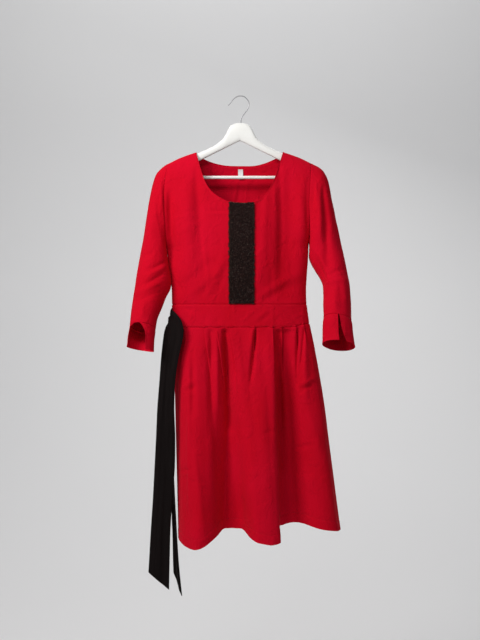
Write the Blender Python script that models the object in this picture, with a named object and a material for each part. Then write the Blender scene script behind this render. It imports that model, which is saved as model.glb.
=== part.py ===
"""A knee-length dress with three-quarter sleeves and a side tie, on a flat wooden hanger.

Metres, +Z up. The front faces -Y and the wearer's left is +X. The origin is the inside top of the
hook's bend, so a height is written as a drop below the hook. Every cloth panel is a thin wall
around a grid of points, and its sizes come from the tables below.
"""
import math

import bmesh
import bpy
from mathutils import Vector

# Cloth and seams
CLOTH = 0.0015
SEAM = 0.0003
PLASTRON_CLOTH = 0.0022
LABEL_CLOTH = 0.001
FRONT = -1
BACK = 1
X, Y, Z = 0, 1, 2

# Main heights, as drops below the hook
WAIST_TOP = 0.5304
WAIST_BOTTOM = 0.5885
WAIST_LIFT = 0.009
WAIST_LIFT_START = 0.125
WAIST_LIFT_END = 0.175

# Torso sections: drop, right edge, left edge, front depth, back depth
BODY = (
    (0.160, 0.1845, 0.1805, 0.030, 0.030),
    (0.190, 0.1860, 0.1790, 0.034, 0.034),
    (0.226, 0.1900, 0.1760, 0.038, 0.037),
    (0.273, 0.1925, 0.1735, 0.043, 0.041),
    (0.340, 0.1910, 0.1755, 0.049, 0.044),
    (0.406, 0.1840, 0.1740, 0.052, 0.045),
    (0.442, 0.1795, 0.1715, 0.051, 0.045),
    (0.490, 0.1740, 0.1685, 0.048, 0.044),
    (0.5304, 0.1730, 0.1696, 0.046, 0.042),
    (0.5885, 0.1720, 0.1775, 0.048, 0.044),
)
RIGHT_EDGE, LEFT_EDGE, FRONT_DEPTH, BACK_DEPTH = 1, 2, 3, 4
SHOULDER_ROUND = 0.12
NECK_COLUMNS = (0.025, 0.07)
ROWS_TO_EDGE = 1.8

# Shoulder ridge over the hanger: distance from the middle, drop of the cloth's outer face
RIDGE = (
    (0.000, 0.1080),
    (0.050, 0.1190),
    (0.110, 0.1415),
    (0.138, 0.1510),
    (0.158, 0.1590),
    (0.178, 0.1690),
    (0.190, 0.1750),
)

# Armholes: level near the shoulder tips, drops of the right (-1) and left (1) underarm
TIP_LEVEL = 0.173
UNDERARM = {-1: 0.385, 1: 0.375}
ARMHOLE_DEPTH = 0.031
UNDERARM_BLEND = 0.04

# Necklines, from the right neck point to the left one: share across the panel, x, drop
FRONT_NECK = (
    (-0.55, -0.1115, 0.1428),
    (-0.47, -0.0990, 0.1890),
    (-0.39, -0.0860, 0.2247),
    (-0.30, -0.0663, 0.2507),
    (-0.15, -0.0290, 0.2716),
    (0.00, 0.0030, 0.2722),
    (0.18, 0.0360, 0.2712),
    (0.29, 0.0570, 0.2603),
    (0.38, 0.0734, 0.2410),
    (0.46, 0.0898, 0.2050),
    (0.52, 0.1035, 0.1610),
    (0.56, 0.1094, 0.1420),
)
BACK_NECK = (
    (-0.55, -0.1115, 0.1428),
    (-0.44, -0.0890, 0.1590),
    (-0.22, -0.0450, 0.1716),
    (0.00, 0.0020, 0.1740),
    (0.22, 0.0450, 0.1722),
    (0.45, 0.0900, 0.1570),
    (0.56, 0.1094, 0.1420),
)

# Skirt folds: x at the waist, x at the hem, depth at the hem, drop of the hem
FRONT_FOLDS = (
    (-0.1720, -0.1570, 0.000, 1.1240),
    (-0.1620, -0.1500, 0.037, 1.1266),
    (-0.1500, -0.1350, 0.070, 1.1341),
    (-0.1350, -0.1120, 0.100, 1.1374),
    (-0.1200, -0.0900, 0.100, 1.1308),
    (-0.1070, -0.0700, 0.085, 1.1170),
    (-0.0970, -0.0575, 0.068, 1.1072),
    (-0.0850, -0.0450, 0.040, 1.0974),
    (-0.0700, -0.0300, 0.027, 1.0962),
    (-0.0500, -0.0090, 0.028, 1.0960),
    (-0.0330, 0.0085, 0.041, 1.0970),
    (-0.0180, 0.0240, 0.072, 1.1109),
    (0.0000, 0.0400, 0.095, 1.1192),
    (0.0200, 0.0560, 0.101, 1.1225),
    (0.0450, 0.0760, 0.101, 1.1257),
    (0.0600, 0.0880, 0.097, 1.1249),
    (0.0740, 0.0980, 0.090, 1.1227),
    (0.0800, 0.1010, 0.078, 1.1194),
    (0.0870, 0.1005, 0.032, 1.0925),
    (0.0940, 0.1080, 0.018, 1.0900),
    (0.1080, 0.1300, 0.013, 1.0845),
    (0.1270, 0.1580, 0.021, 1.0845),
    (0.1460, 0.2030, 0.050, 1.0950),
    (0.1640, 0.2430, 0.042, 1.1010),
    (0.1775, 0.2565, 0.000, 1.1040),
)
BACK_FOLDS = (
    (-0.1720, -0.157, 0.000, 1.124),
    (-0.1580, -0.150, 0.055, 1.117),
    (-0.1300, -0.114, 0.098, 1.112),
    (-0.1000, -0.080, 0.088, 1.104),
    (-0.0720, -0.052, 0.052, 1.094),
    (-0.0450, -0.025, 0.050, 1.092),
    (-0.0150, 0.008, 0.090, 1.102),
    (0.0150, 0.042, 0.104, 1.106),
    (0.0450, 0.075, 0.088, 1.100),
    (0.0720, 0.105, 0.050, 1.092),
    (0.0980, 0.132, 0.048, 1.092),
    (0.1250, 0.170, 0.088, 1.100),
    (0.1480, 0.210, 0.090, 1.104),
    (0.1660, 0.243, 0.054, 1.103),
    (0.1775, 0.2565, 0.000, 1.104),
)
# How far the skirt has opened from waist to hem: share of the way down, share of the spread
SPREAD = (
    (0.00, 0.00),
    (0.12, 0.20),
    (0.37, 0.44),
    (0.57, 0.58),
    (0.77, 0.78),
    (1.00, 1.00),
)
# Pleats under the waistband: x of the folded edge, side that lies on top
FRONT_PLEATS = (
    (-0.0910, 1),
    (-0.0600, 1),
    (-0.0300, 1),
    (0.0360, -1),
    (0.0830, -1),
    (0.1060, -1),
    (0.1415, -1),
    (0.1610, -1),
)
BACK_PLEATS = (
    (-0.118, 1),
    (-0.080, 1),
    (-0.042, 1),
    (0.042, -1),
    (0.080, -1),
    (0.118, -1),
)
PLEAT_HEIGHT = 0.003
PLEAT_REACH = 0.024
PLEAT_EDGE = 0.0018
PLEATS_END = 0.05

# Sleeves, from the row after the armhole to the cuff seam:
# outer x, outer drop, inner x, inner drop, half depth, centre y, tilt of the ring
RIGHT_SLEEVE = (
    (0.2030, 0.1835, 0.1920, 0.3910, 0.035, 0.000, 0.00),
    (0.2145, 0.1980, 0.1922, 0.3990, 0.038, 0.000, 0.00),
    (0.2235, 0.2200, 0.1910, 0.4090, 0.040, 0.000, 0.00),
    (0.2295, 0.2435, 0.1890, 0.4190, 0.042, 0.000, 0.00),
    (0.2346, 0.2740, 0.1870, 0.4300, 0.043, 0.000, 0.00),
    (0.2400, 0.3150, 0.1850, 0.4420, 0.044, -0.001, 0.02),
    (0.2475, 0.3620, 0.1830, 0.4560, 0.044, -0.003, 0.06),
    (0.2576, 0.4120, 0.1815, 0.4720, 0.043, -0.007, 0.14),
    (0.2655, 0.4550, 0.1830, 0.4900, 0.042, -0.014, 0.24),
    (0.2715, 0.4950, 0.1900, 0.5110, 0.040, -0.024, 0.34),
    (0.2765, 0.5320, 0.2000, 0.5370, 0.037, -0.036, 0.40),
    (0.2805, 0.5665, 0.2117, 0.5665, 0.034, -0.050, 0.42),
)
LEFT_SLEEVE = (
    (0.1990, 0.1805, 0.1830, 0.3830, 0.035, 0.000, 0.00),
    (0.2115, 0.1925, 0.1832, 0.3910, 0.038, 0.000, 0.00),
    (0.2215, 0.2140, 0.1832, 0.3990, 0.040, 0.000, 0.00),
    (0.2295, 0.2435, 0.1835, 0.4080, 0.042, 0.000, 0.00),
    (0.2360, 0.2800, 0.1850, 0.4190, 0.043, 0.000, 0.00),
    (0.2440, 0.3250, 0.1885, 0.4320, 0.044, -0.001, 0.02),
    (0.2540, 0.3720, 0.1950, 0.4470, 0.044, -0.003, 0.06),
    (0.2650, 0.4120, 0.2035, 0.4620, 0.043, -0.007, 0.14),
    (0.2735, 0.4520, 0.2095, 0.4820, 0.042, -0.014, 0.24),
    (0.2790, 0.4900, 0.2115, 0.5060, 0.040, -0.024, 0.34),
    (0.2820, 0.5270, 0.2117, 0.5330, 0.037, -0.036, 0.40),
    (0.2840, 0.5625, 0.2117, 0.5625, 0.034, -0.050, 0.42),
)
# Cuffs, with the same columns and the angles where the slit starts and ends
RIGHT_CUFF = (
    (0.2806, 0.5668, 0.2118, 0.5668, 0.034, -0.0501, 0.42, 62, 84),
    (0.2815, 0.5750, 0.2140, 0.5760, 0.035, -0.0530, 0.42, 48, 98),
    (0.2830, 0.5920, 0.2175, 0.5950, 0.036, -0.0590, 0.42, 38, 103),
    (0.2860, 0.6150, 0.2200, 0.6210, 0.036, -0.0670, 0.42, 33, 105),
    (0.2880, 0.6340, 0.2212, 0.6420, 0.035, -0.0740, 0.42, 30, 104),
)
LEFT_CUFF = (
    (0.2841, 0.5628, 0.2118, 0.5628, 0.034, -0.0501, 0.42, 88, 93),
    (0.2850, 0.5720, 0.2112, 0.5720, 0.035, -0.0530, 0.42, 87, 93),
    (0.2865, 0.5920, 0.2105, 0.5910, 0.035, -0.0590, 0.42, 84, 93),
    (0.2885, 0.6150, 0.2100, 0.6120, 0.034, -0.0660, 0.42, 76, 93),
    (0.2907, 0.6330, 0.2098, 0.6280, 0.033, -0.0710, 0.42, 66, 92),
)

# Ties, from the side seam down: outer edge x, y, drop, then inner edge x, y, drop
FRONT_TIE = (
    (-0.1743, -0.0014, 0.5800, -0.1743, -0.0030, 0.5400),
    (-0.1825, -0.0120, 0.5820, -0.1730, -0.0250, 0.5440),
    (-0.1880, -0.0220, 0.5890, -0.1600, -0.0400, 0.5550),
    (-0.1922, -0.0300, 0.6050, -0.1450, -0.0480, 0.5780),
    (-0.1958, -0.0350, 0.6350, -0.1425, -0.0540, 0.6100),
    (-0.1992, -0.0380, 0.6720, -0.1530, -0.0560, 0.6600),
    (-0.2026, -0.0400, 0.7200, -0.1618, -0.0560, 0.7180),
    (-0.2080, -0.0400, 0.7900, -0.1650, -0.0520, 0.7900),
    (-0.2112, -0.0380, 0.8600, -0.1628, -0.0500, 0.8600),
    (-0.2153, -0.0360, 0.9400, -0.1638, -0.0480, 0.9400),
    (-0.2197, -0.0340, 1.0200, -0.1700, -0.0440, 1.0200),
    (-0.2245, -0.0330, 1.0930, -0.1748, -0.0420, 1.0930),
    (-0.2279, -0.0320, 1.1500, -0.1767, -0.0410, 1.1600),
    (-0.2311, -0.0320, 1.2065, -0.1786, -0.0400, 1.2490),
)
BACK_TIE = (
    (-0.1743, 0.0014, 0.5800, -0.1743, 0.0030, 0.5400),
    (-0.1800, 0.0080, 0.5820, -0.1785, 0.0240, 0.5480),
    (-0.1820, 0.0110, 0.5920, -0.1800, 0.0390, 0.5620),
    (-0.1830, 0.0130, 0.6120, -0.1800, 0.0500, 0.5900),
    (-0.1830, 0.0140, 0.6500, -0.1790, 0.0570, 0.6350),
    (-0.1820, 0.0140, 0.7100, -0.1780, 0.0600, 0.7000),
    (-0.1800, 0.0130, 0.7900, -0.1765, 0.0610, 0.7850),
    (-0.1785, 0.0120, 0.8800, -0.1755, 0.0610, 0.8800),
    (-0.1770, 0.0110, 0.9700, -0.1728, 0.0600, 0.9700),
    (-0.1740, 0.0110, 1.0600, -0.1683, 0.0590, 1.0600),
    (-0.1725, 0.0110, 1.1400, -0.1640, 0.0580, 1.1400),
    (-0.1714, 0.0110, 1.1880, -0.1592, 0.0570, 1.2120),
    (-0.1703, 0.0110, 1.2150, -0.1512, 0.0560, 1.2870),
)

# Plastron and neck label
PLASTRON_RIGHT = -0.0268
PLASTRON_LEFT = 0.0344
PLASTRON_TOP = 0.2735
PLASTRON_BOTTOM = 0.5290
LABEL_RIGHT = -0.0049
LABEL_LEFT = 0.0077
LABEL_TOP = 0.1825
LABEL_BOTTOM = 0.2072
LABEL_GAP = 0.0006

# Hanger: distance from its middle, drop of the top, drop of the underside, half thickness
HANGER_MIDDLE = 0.0004
HANGER = (
    (0.0000, 0.0677, 0.1135, 0.0070),
    (0.0100, 0.0682, 0.1184, 0.0070),
    (0.0180, 0.0705, 0.1223, 0.0070),
    (0.0244, 0.0742, 0.1255, 0.0070),
    (0.0282, 0.0790, 0.1273, 0.0070),
    (0.0320, 0.0865, 0.1292, 0.0070),
    (0.0355, 0.0945, 0.1309, 0.0070),
    (0.0400, 0.1025, 0.1331, 0.0069),
    (0.0455, 0.1095, 0.1358, 0.0068),
    (0.0530, 0.1160, 0.1395, 0.0067),
    (0.0625, 0.1235, 0.1441, 0.0066),
    (0.0760, 0.1308, 0.1507, 0.0064),
    (0.0900, 0.1373, 0.1576, 0.0062),
    (0.1050, 0.1438, 0.1648, 0.0056),
    (0.1150, 0.1474, 0.1690, 0.0056),
    (0.1380, 0.1535, 0.1775, 0.0060),
    (0.1580, 0.1611, 0.1850, 0.0060),
    (0.1730, 0.1688, 0.1895, 0.0060),
    (0.1795, 0.1722, 0.1915, 0.0060),
    (0.1800, 0.1724, 0.2125, 0.0060),
    (0.1880, 0.1768, 0.2135, 0.0058),
    (0.1950, 0.1830, 0.2090, 0.0052),
    (0.1985, 0.1890, 0.2010, 0.0036),
)
HANGER_SECTION_POINTS = 12
BAR_RADIUS = 0.0042
BAR_DROP = 0.2066
BAR_HALF_LENGTH = 0.1792
BAR_SIDES = 16
HOOK_RADIUS = 0.0013
HOOK_BEND = 0.0245
HOOK_TIP_ANGLE = 182
HOOK_THROAT_ANGLE = -38
SHANK_TOP = 0.0555
SHANK_X = 0.0025
SHANK_TURN_ANGLE = 52
SHANK_TURN = 0.022

# Finishes: colour, roughness, metallic
RED_COTTON = ((0.58, 0.006, 0.016, 1.0), 0.80, 0.0)
BLACK_COTTON = ((0.007, 0.007, 0.008, 1.0), 0.78, 0.0)
BLACK_BOUCLE = ((0.012, 0.010, 0.010, 1.0), 0.95, 0.0)
WHITE_LABEL = ((0.82, 0.82, 0.82, 1.0), 0.70, 0.0)
PAINTED_WOOD = ((0.80, 0.79, 0.76, 1.0), 0.45, 0.0)
STEEL = ((0.52, 0.52, 0.54, 1.0), 0.30, 1.0)


def mix(start, end, share):
    """Value the given share of the way from start to end."""
    return start + (end - start) * share


def ease(share):
    """Share that leaves 0 and reaches 1 softly."""
    share = min(max(share, 0.0), 1.0)
    return share * share * (3.0 - 2.0 * share)


def hermite(start, end, start_slope, end_slope, t):
    """Cubic between two values with the given slopes."""
    return (
        (2 * t**3 - 3 * t**2 + 1) * start
        + (t**3 - 2 * t**2 + t) * start_slope
        + (3 * t**2 - 2 * t**3) * end
        + (t**3 - t**2) * end_slope
    )


def read(table, key, column):
    """Smooth curve through one column of a table whose first column rises."""
    last = len(table) - 1
    key = min(max(key, table[0][0]), table[last][0])
    row = 0
    while row < last - 1 and key > table[row + 1][0]:
        row += 1
    span = table[row + 1][0] - table[row][0]

    def slope(i):
        before, after = table[max(i - 1, 0)], table[min(i + 1, last)]
        return (after[column] - before[column]) / (after[0] - before[0]) * span

    t = (key - table[row][0]) / span
    return hermite(table[row][column], table[row + 1][column], slope(row), slope(row + 1), t)


def row_at(table, place):
    """All columns of a table at a place counted in rows, on a smooth curve."""
    last = len(table) - 1
    row = min(int(place), last - 1)
    t = place - row
    values = []
    for column in range(len(table[0])):
        before, start = table[max(row - 1, 0)][column], table[row][column]
        end, after = table[row + 1][column], table[min(row + 2, last)][column]
        values.append(hermite(start, end, (end - before) / 2, (after - start) / 2, t))
    return values


def stops(marks, step):
    """Values through all the marks, no further apart than the step."""
    values = [marks[0]]
    for start, end in zip(marks, marks[1:]):
        count = max(1, math.ceil((end - start) / step - 0.01))
        values.extend(mix(start, end, i / count) for i in range(1, count + 1))
    return values


def band_bottom(x):
    """Drop of the waistband's lower seam, which lifts a little at the wearer's left."""
    rise = ease((x - WAIST_LIFT_START) / (WAIST_LIFT_END - WAIST_LIFT_START))
    return WAIST_BOTTOM - WAIST_LIFT * rise


def ridge_drop(x):
    """Drop of the wall's middle along the shoulder ridge."""
    return read(RIDGE, abs(x), 1) + CLOTH / 2


def armhole_depth(side, x, drop):
    """Half depth of the oval that runs from the shoulder ridge to the underarm, and 0 past it."""
    top, bottom, half_depth = ridge_drop(x), UNDERARM[side], ARMHOLE_DEPTH
    height = (2 * drop - top - bottom) / (bottom - top)
    return half_depth * math.sqrt(max(0.0, 1.0 - height * height))


def torso_middle(drop):
    """Middle x and half width of the torso at a drop."""
    right, left = read(BODY, drop, RIGHT_EDGE), read(BODY, drop, LEFT_EDGE)
    return (left - right) / 2, (left + right) / 2


def shoulder_tip(side):
    """x and drop of the outer end of a shoulder ridge."""
    middle, half = torso_middle(TIP_LEVEL)
    x = middle + side * half
    return x, ridge_drop(x)


def torso_point(face, across, drop):
    """Point of the torso's cloth. across runs from -1 at the right edge to 1 at the left."""
    middle, half = torso_middle(drop)
    x = middle + across * half
    side = -1 if across < 0 else 1
    depth = read(BODY, drop, FRONT_DEPTH if face == FRONT else BACK_DEPTH)
    below = min(max((drop - ridge_drop(x)) / SHOULDER_ROUND, 0.0), 1.0)
    depth *= math.sqrt(1.0 - (1.0 - below) ** 2)
    rim = min(armhole_depth(side, x, drop), depth)
    flat = ease((UNDERARM[side] + UNDERARM_BLEND - drop) / UNDERARM_BLEND)
    bulge = max(0.0, 1.0 - across * across) ** mix(0.5, 1.0, flat)
    return Vector((x, face * (SEAM / 2 + rim + (depth - rim) * bulge), -drop))


def top_edge(neck, share):
    """x and drop of a bodice panel's top edge: the shoulders with the neckline between them."""
    first, last = neck[0], neck[-1]
    if first[0] <= share <= last[0]:
        return read(neck, share, 1), read(neck, share, 2)
    side = -1 if share < 0 else 1
    inner = first if share < 0 else last
    x = mix(inner[1], shoulder_tip(side)[0], (share - inner[0]) / (side - inner[0]))
    return x, ridge_drop(x)


def bodice_point(face, neck, share, up):
    """Point of a bodice panel: share runs across it and up from the waist to the top edge."""
    top_x, top_drop = top_edge(neck, share)
    drop = mix(WAIST_TOP - SEAM / 2, top_drop, up)
    middle, half = torso_middle(top_drop)
    across = mix(math.sin(share * math.pi / 2), (top_x - middle) / half, up)
    return torso_point(face, min(max(across, -1.0), 1.0), drop)


def surface_normal(grid, r, c, closed):
    """Unit normal of a grid of points, from its neighbours in both directions."""
    rows, cols = len(grid), len(grid[0])
    right = (c + 1) % cols if closed else min(c + 1, cols - 1)
    left = (c - 1) % cols if closed else max(c - 1, 0)
    across = grid[r][right] - grid[r][left]
    along = grid[min(r + 1, rows - 1)][c] - grid[max(r - 1, 0)][c]
    return across.cross(along).normalized()


def principled(name, finish):
    """Material of one piece."""
    colour, roughness, metallic = finish
    material = bpy.data.materials.new(name)
    material.use_nodes = True
    shader = material.node_tree.nodes["Principled BSDF"]
    shader.inputs["Base Color"].default_value = colour
    shader.inputs["Roughness"].default_value = roughness
    shader.inputs["Metallic"].default_value = metallic
    return material


def add_piece(name, bm, finish):
    """Object from a closed bmesh, with its faces turned outwards."""
    bm.normal_update()
    bmesh.ops.recalc_face_normals(bm, faces=bm.faces)
    mesh = bpy.data.meshes.new(name)
    bm.to_mesh(mesh)
    bm.free()
    mesh.shade_smooth()
    mesh.set_sharp_from_angle(angle=math.radians(50))
    piece = bpy.data.objects.new(name, mesh)
    piece.data.materials.append(principled(name + "_finish", finish))
    bpy.context.scene.collection.objects.link(piece)
    return piece


def cloth_wall(name, grid, thickness, finish, closed=False, hold=None):
    """Closed wall around a grid of points. hold(r, c) names the axes that a seam keeps in place."""
    rows, cols = len(grid), len(grid[0])
    bm = bmesh.new()
    skins = []
    for side in (1, -1):
        skin = []
        for r in range(rows):
            line = []
            for c in range(cols):
                move = surface_normal(grid, r, c, closed) * (side * thickness / 2)
                for axis in hold(r, c) if hold else ():
                    move[axis] = 0.0
                line.append(bm.verts.new(grid[r][c] + move))
            skin.append(line)
        skins.append(skin)
    outer, inner = skins
    for r in range(rows - 1):
        for c in range(cols if closed else cols - 1):
            n = (c + 1) % cols
            bm.faces.new((outer[r][c], outer[r][n], outer[r + 1][n], outer[r + 1][c]))
            bm.faces.new((inner[r][c], inner[r + 1][c], inner[r + 1][n], inner[r][n]))
    for r in (0, rows - 1):
        for c in range(cols if closed else cols - 1):
            n = (c + 1) % cols
            bm.faces.new((outer[r][c], inner[r][c], inner[r][n], outer[r][n]))
    for c in () if closed else (0, cols - 1):
        for r in range(rows - 1):
            bm.faces.new((outer[r][c], outer[r + 1][c], inner[r + 1][c], inner[r][c]))
    return add_piece(name, bm, finish)


def bodice_panel(name, face, neck, rows=15, step=0.09):
    """Front or back of the bodice, from the waist seam to the shoulders and the neckline."""
    near, far = neck[0][0], neck[-1][0]
    beside_near = [near + gap for gap in NECK_COLUMNS]
    beside_far = [far - gap for gap in reversed(NECK_COLUMNS)]
    shares = stops([-1.0, near, *beside_near, *beside_far, far, 1.0], step)
    ups = [1.0 - (1.0 - r / rows) ** ROWS_TO_EDGE for r in range(rows + 1)]
    grid = [[bodice_point(face, neck, share, up) for share in shares] for up in ups]
    last = len(shares) - 1
    for c, side in ((0, -1), (last, 1)):
        for r in range(rows + 1):
            if -grid[r][c].z < UNDERARM[side]:
                grid[r][c].x += side * CLOTH / 2

    def hold(r, c):
        axes = [Z] if r == 0 else []
        if c in (0, last):
            side = -1 if c == 0 else 1
            axes.append(X if -grid[r][c].z < UNDERARM[side] else Y)
        if r == rows and not near < shares[c] < far:
            axes.append(Y)
        return axes

    return cloth_wall(name, grid, CLOTH, RED_COTTON, hold=hold)


def waistband_panel(name, face, step=0.08, rows=2):
    """Front or back of the waistband, between the bodice and the skirt."""
    shares = stops((-1.0, 1.0), step)
    grid = []
    for r in range(rows + 1):
        line = []
        for share in shares:
            across = math.sin(share * math.pi / 2)
            middle, half = torso_middle(WAIST_BOTTOM)
            bottom = band_bottom(middle + across * half) - SEAM / 2
            drop = mix(WAIST_TOP + SEAM / 2, bottom, r / rows)
            line.append(torso_point(face, across, drop))
        grid.append(line)
    last = len(shares) - 1

    def hold(r, c):
        return ([Z] if r in (0, rows) else []) + ([Y] if c in (0, last) else [])

    return cloth_wall(name, grid, CLOTH, RED_COTTON, hold=hold)


def pleat_relief(pleats, x):
    """How far a pleat's top side stands out, and its under side lies back, at the waist seam."""
    relief = 0.0
    for place, over in pleats:
        away = (x - place) * over
        edge = min(max(away / PLEAT_EDGE, -1.0), 1.0)
        relief += PLEAT_HEIGHT * edge * max(0.0, 1.0 - abs(away) / PLEAT_REACH)
    return relief


def skirt_point(face, folds, pleats, waist_x, down):
    """Point of a skirt panel: waist_x picks the line of cloth and down runs to the hem."""
    middle, half = torso_middle(WAIST_BOTTOM)
    across = min(max((waist_x - middle) / half, -1.0), 1.0)
    waist = torso_point(face, across, WAIST_BOTTOM)
    waist.z = -band_bottom(waist_x) - SEAM / 2
    hem_depth = SEAM / 2 + max(0.0, read(folds, waist_x, 2))
    hem = Vector((read(folds, waist_x, 1), face * hem_depth, -read(folds, waist_x, 3)))
    spread = read(SPREAD, down, 1)
    y = mix(waist.y, hem.y, spread)
    relief = pleat_relief(pleats, waist_x) * min(1.0, (1.0 - abs(across)) / PLEATS_END)
    y += face * relief * (1.0 - down) ** 2
    return Vector((mix(waist.x, hem.x, spread), y, mix(waist.z, hem.z, down)))


def skirt_columns(folds, pleats, step):
    """Lines of cloth across a skirt panel, closer at its edges and on both sides of each pleat."""
    first, last = folds[0][0], folds[-1][0]
    edge = [0.0, 0.0012, 0.004, 0.009]
    marks = [first + e for e in edge] + [last - e for e in reversed(edge)]
    for place, _ in pleats:
        marks += [place - PLEAT_EDGE, place + PLEAT_EDGE]
    return stops(sorted(marks), step)


def skirt_panel(name, face, folds, pleats, rows=10, step=0.0105):
    """Pleated front or back of the skirt, from the waistband to the hem."""
    columns = skirt_columns(folds, pleats, step)
    grid = []
    for r in range(rows + 1):
        grid.append([skirt_point(face, folds, pleats, x, r / rows) for x in columns])
    last = len(columns) - 1

    def hold(r, c):
        return ([Z] if r == 0 else []) + ([Y] if c in (0, last) else [])

    return cloth_wall(name, grid, CLOTH, RED_COTTON, hold=hold)


def ring_point(side, values, angle):
    """Point of a sleeve's ring: 0 degrees is its outer edge, 90 its front, 180 its inner edge."""
    outer_x, outer_drop, inner_x, inner_drop, half_depth, centre_y, tilt = values[:7]
    out, forward = math.cos(angle), math.sin(angle)
    x = (outer_x + inner_x) / 2 + (outer_x - inner_x) / 2 * out
    drop = (outer_drop + inner_drop) / 2 + (outer_drop - inner_drop) / 2 * out
    return Vector((side * x, centre_y - half_depth * forward, -drop + half_depth * forward * tilt))


def armhole_ring(side, points):
    """First ring of a sleeve, just outside the bodice's armhole."""
    top, bottom = shoulder_tip(side)[1], UNDERARM[side]
    ring = []
    for i in range(points):
        angle = 2 * math.pi * i / points
        drop = (top + bottom) / 2 - (bottom - top) / 2 * math.cos(angle)
        point = torso_point(FRONT if angle < math.pi else BACK, side, drop)
        point.x += side * (CLOTH / 2 + SEAM)
        if i * 2 % points == 0:
            point.y = 0.0
        ring.append(point)
    return ring


def sleeve(name, side, table, points=20):
    """Sleeve as a tube from the armhole to the cuff seam."""
    grid = [armhole_ring(side, points)]
    for values in table:
        grid.append([ring_point(side, values, 2 * math.pi * i / points) for i in range(points)])

    def hold(r, c):
        return [X] if r == 0 else []

    return cloth_wall(name, grid, CLOTH, RED_COTTON, closed=True, hold=hold)


def cuff(name, side, table, points=20, rows=5):
    """Cuff as a band with an open slit at its front."""
    grid = []
    for r in range(rows + 1):
        values = row_at(table, (len(table) - 1) * r / rows)
        start, end = math.radians(values[8]), math.radians(values[7] + 360)
        grid.append([ring_point(side, values, mix(start, end, i / points)) for i in range(points + 1)])
    return cloth_wall(name, grid, CLOTH, RED_COTTON)


def tie(name, table, rows=24, cells=3):
    """One end of the tie, sewn into the right side seam and hanging free."""
    grid = []
    for r in range(rows + 1):
        values = row_at(table, (len(table) - 1) * r / rows)
        outer = Vector((values[0], values[1], -values[2]))
        inner = Vector((values[3], values[4], -values[5]))
        grid.append([outer.lerp(inner, c / cells) for c in range(cells + 1)])
    return cloth_wall(name, grid, CLOTH, BLACK_COTTON)


def patch(name, face, bounds, lift, thickness, finish, rows, cells):
    """Piece that lies on the torso's cloth, moved out from it by lift."""
    right, left, top, bottom = bounds
    grid = []
    for r in range(rows + 1):
        drop = mix(bottom, top, r / rows)
        middle, half = torso_middle(drop)
        line = []
        for c in range(cells + 1):
            across = (mix(right, left, c / cells) - middle) / half
            line.append(torso_point(face, across, drop) + Vector((0, lift, 0)))
        grid.append(line)
    return cloth_wall(name, grid, thickness, finish)


def hanger_body():
    """Wooden hanger: boss, neck and both arms, as oval sections along its length."""
    rows = [(-row[0], *row[1:]) for row in reversed(HANGER[1:])] + list(HANGER)
    bm = bmesh.new()
    rings = []
    for x, top, bottom, half in rows:
        ring = []
        for i in range(HANGER_SECTION_POINTS):
            angle = 2 * math.pi * i / HANGER_SECTION_POINTS
            z = -(top + bottom) / 2 + (bottom - top) / 2 * math.sin(angle)
            ring.append(bm.verts.new((HANGER_MIDDLE + x, half * math.cos(angle), z)))
        rings.append(ring)
    for start, end in zip(rings, rings[1:]):
        for i in range(HANGER_SECTION_POINTS):
            n = (i + 1) % HANGER_SECTION_POINTS
            bm.faces.new((start[i], start[n], end[n], end[i]))
    bm.faces.new(rings[0])
    bm.faces.new(rings[-1])
    return add_piece("hanger_body", bm, PAINTED_WOOD)


def hanger_bar():
    """Round bar between the ends of the arms."""
    bm = bmesh.new()
    bmesh.ops.create_cone(
        bm,
        cap_ends=True,
        segments=BAR_SIDES,
        radius1=BAR_RADIUS,
        radius2=BAR_RADIUS,
        depth=2 * BAR_HALF_LENGTH,
    )
    for vert in bm.verts:
        vert.co = Vector((HANGER_MIDDLE + vert.co.z, vert.co.y, vert.co.x - BAR_DROP))
    return add_piece("hanger_bar", bm, PAINTED_WOOD)


def hook_route(points=22):
    """Middle of the hook's wire, from its tip over the bend and down the shank."""
    centre = Vector((0.0, 0.0, HOOK_RADIUS - HOOK_BEND))
    route = []
    for i in range(points):
        angle = math.radians(mix(HOOK_TIP_ANGLE, HOOK_THROAT_ANGLE, i / (points - 1)))
        route.append(centre + HOOK_BEND * Vector((math.cos(angle), 0.0, math.sin(angle))))
    throat = route[-1]
    lean = math.radians(SHANK_TURN_ANGLE)
    turn = SHANK_TURN * Vector((-math.cos(lean), 0.0, -math.sin(lean)))
    down = Vector((0.0, 0.0, -SHANK_TURN))
    shank = Vector((SHANK_X, 0.0, -SHANK_TOP))
    for i in range(1, 7):
        t = i / 6
        route.append(hermite(throat, shank, turn, down, t))
    route.append(Vector((SHANK_X, 0.0, -HANGER[0][1] + SEAM)))
    return route


def hanger_hook():
    """Bent steel wire, whose bend the dress hangs from."""
    curve = bpy.data.curves.new("hanger_hook", "CURVE")
    curve.dimensions = "3D"
    curve.bevel_depth = HOOK_RADIUS
    curve.bevel_resolution = 2
    curve.use_fill_caps = True
    route = hook_route()
    spline = curve.splines.new("POLY")
    spline.points.add(len(route) - 1)
    for point, place in zip(spline.points, route):
        point.co = (*place, 1.0)
    curve.materials.append(principled("hanger_hook_finish", STEEL))
    hook = bpy.data.objects.new("hanger_hook", curve)
    bpy.context.scene.collection.objects.link(hook)
    return hook


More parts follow.
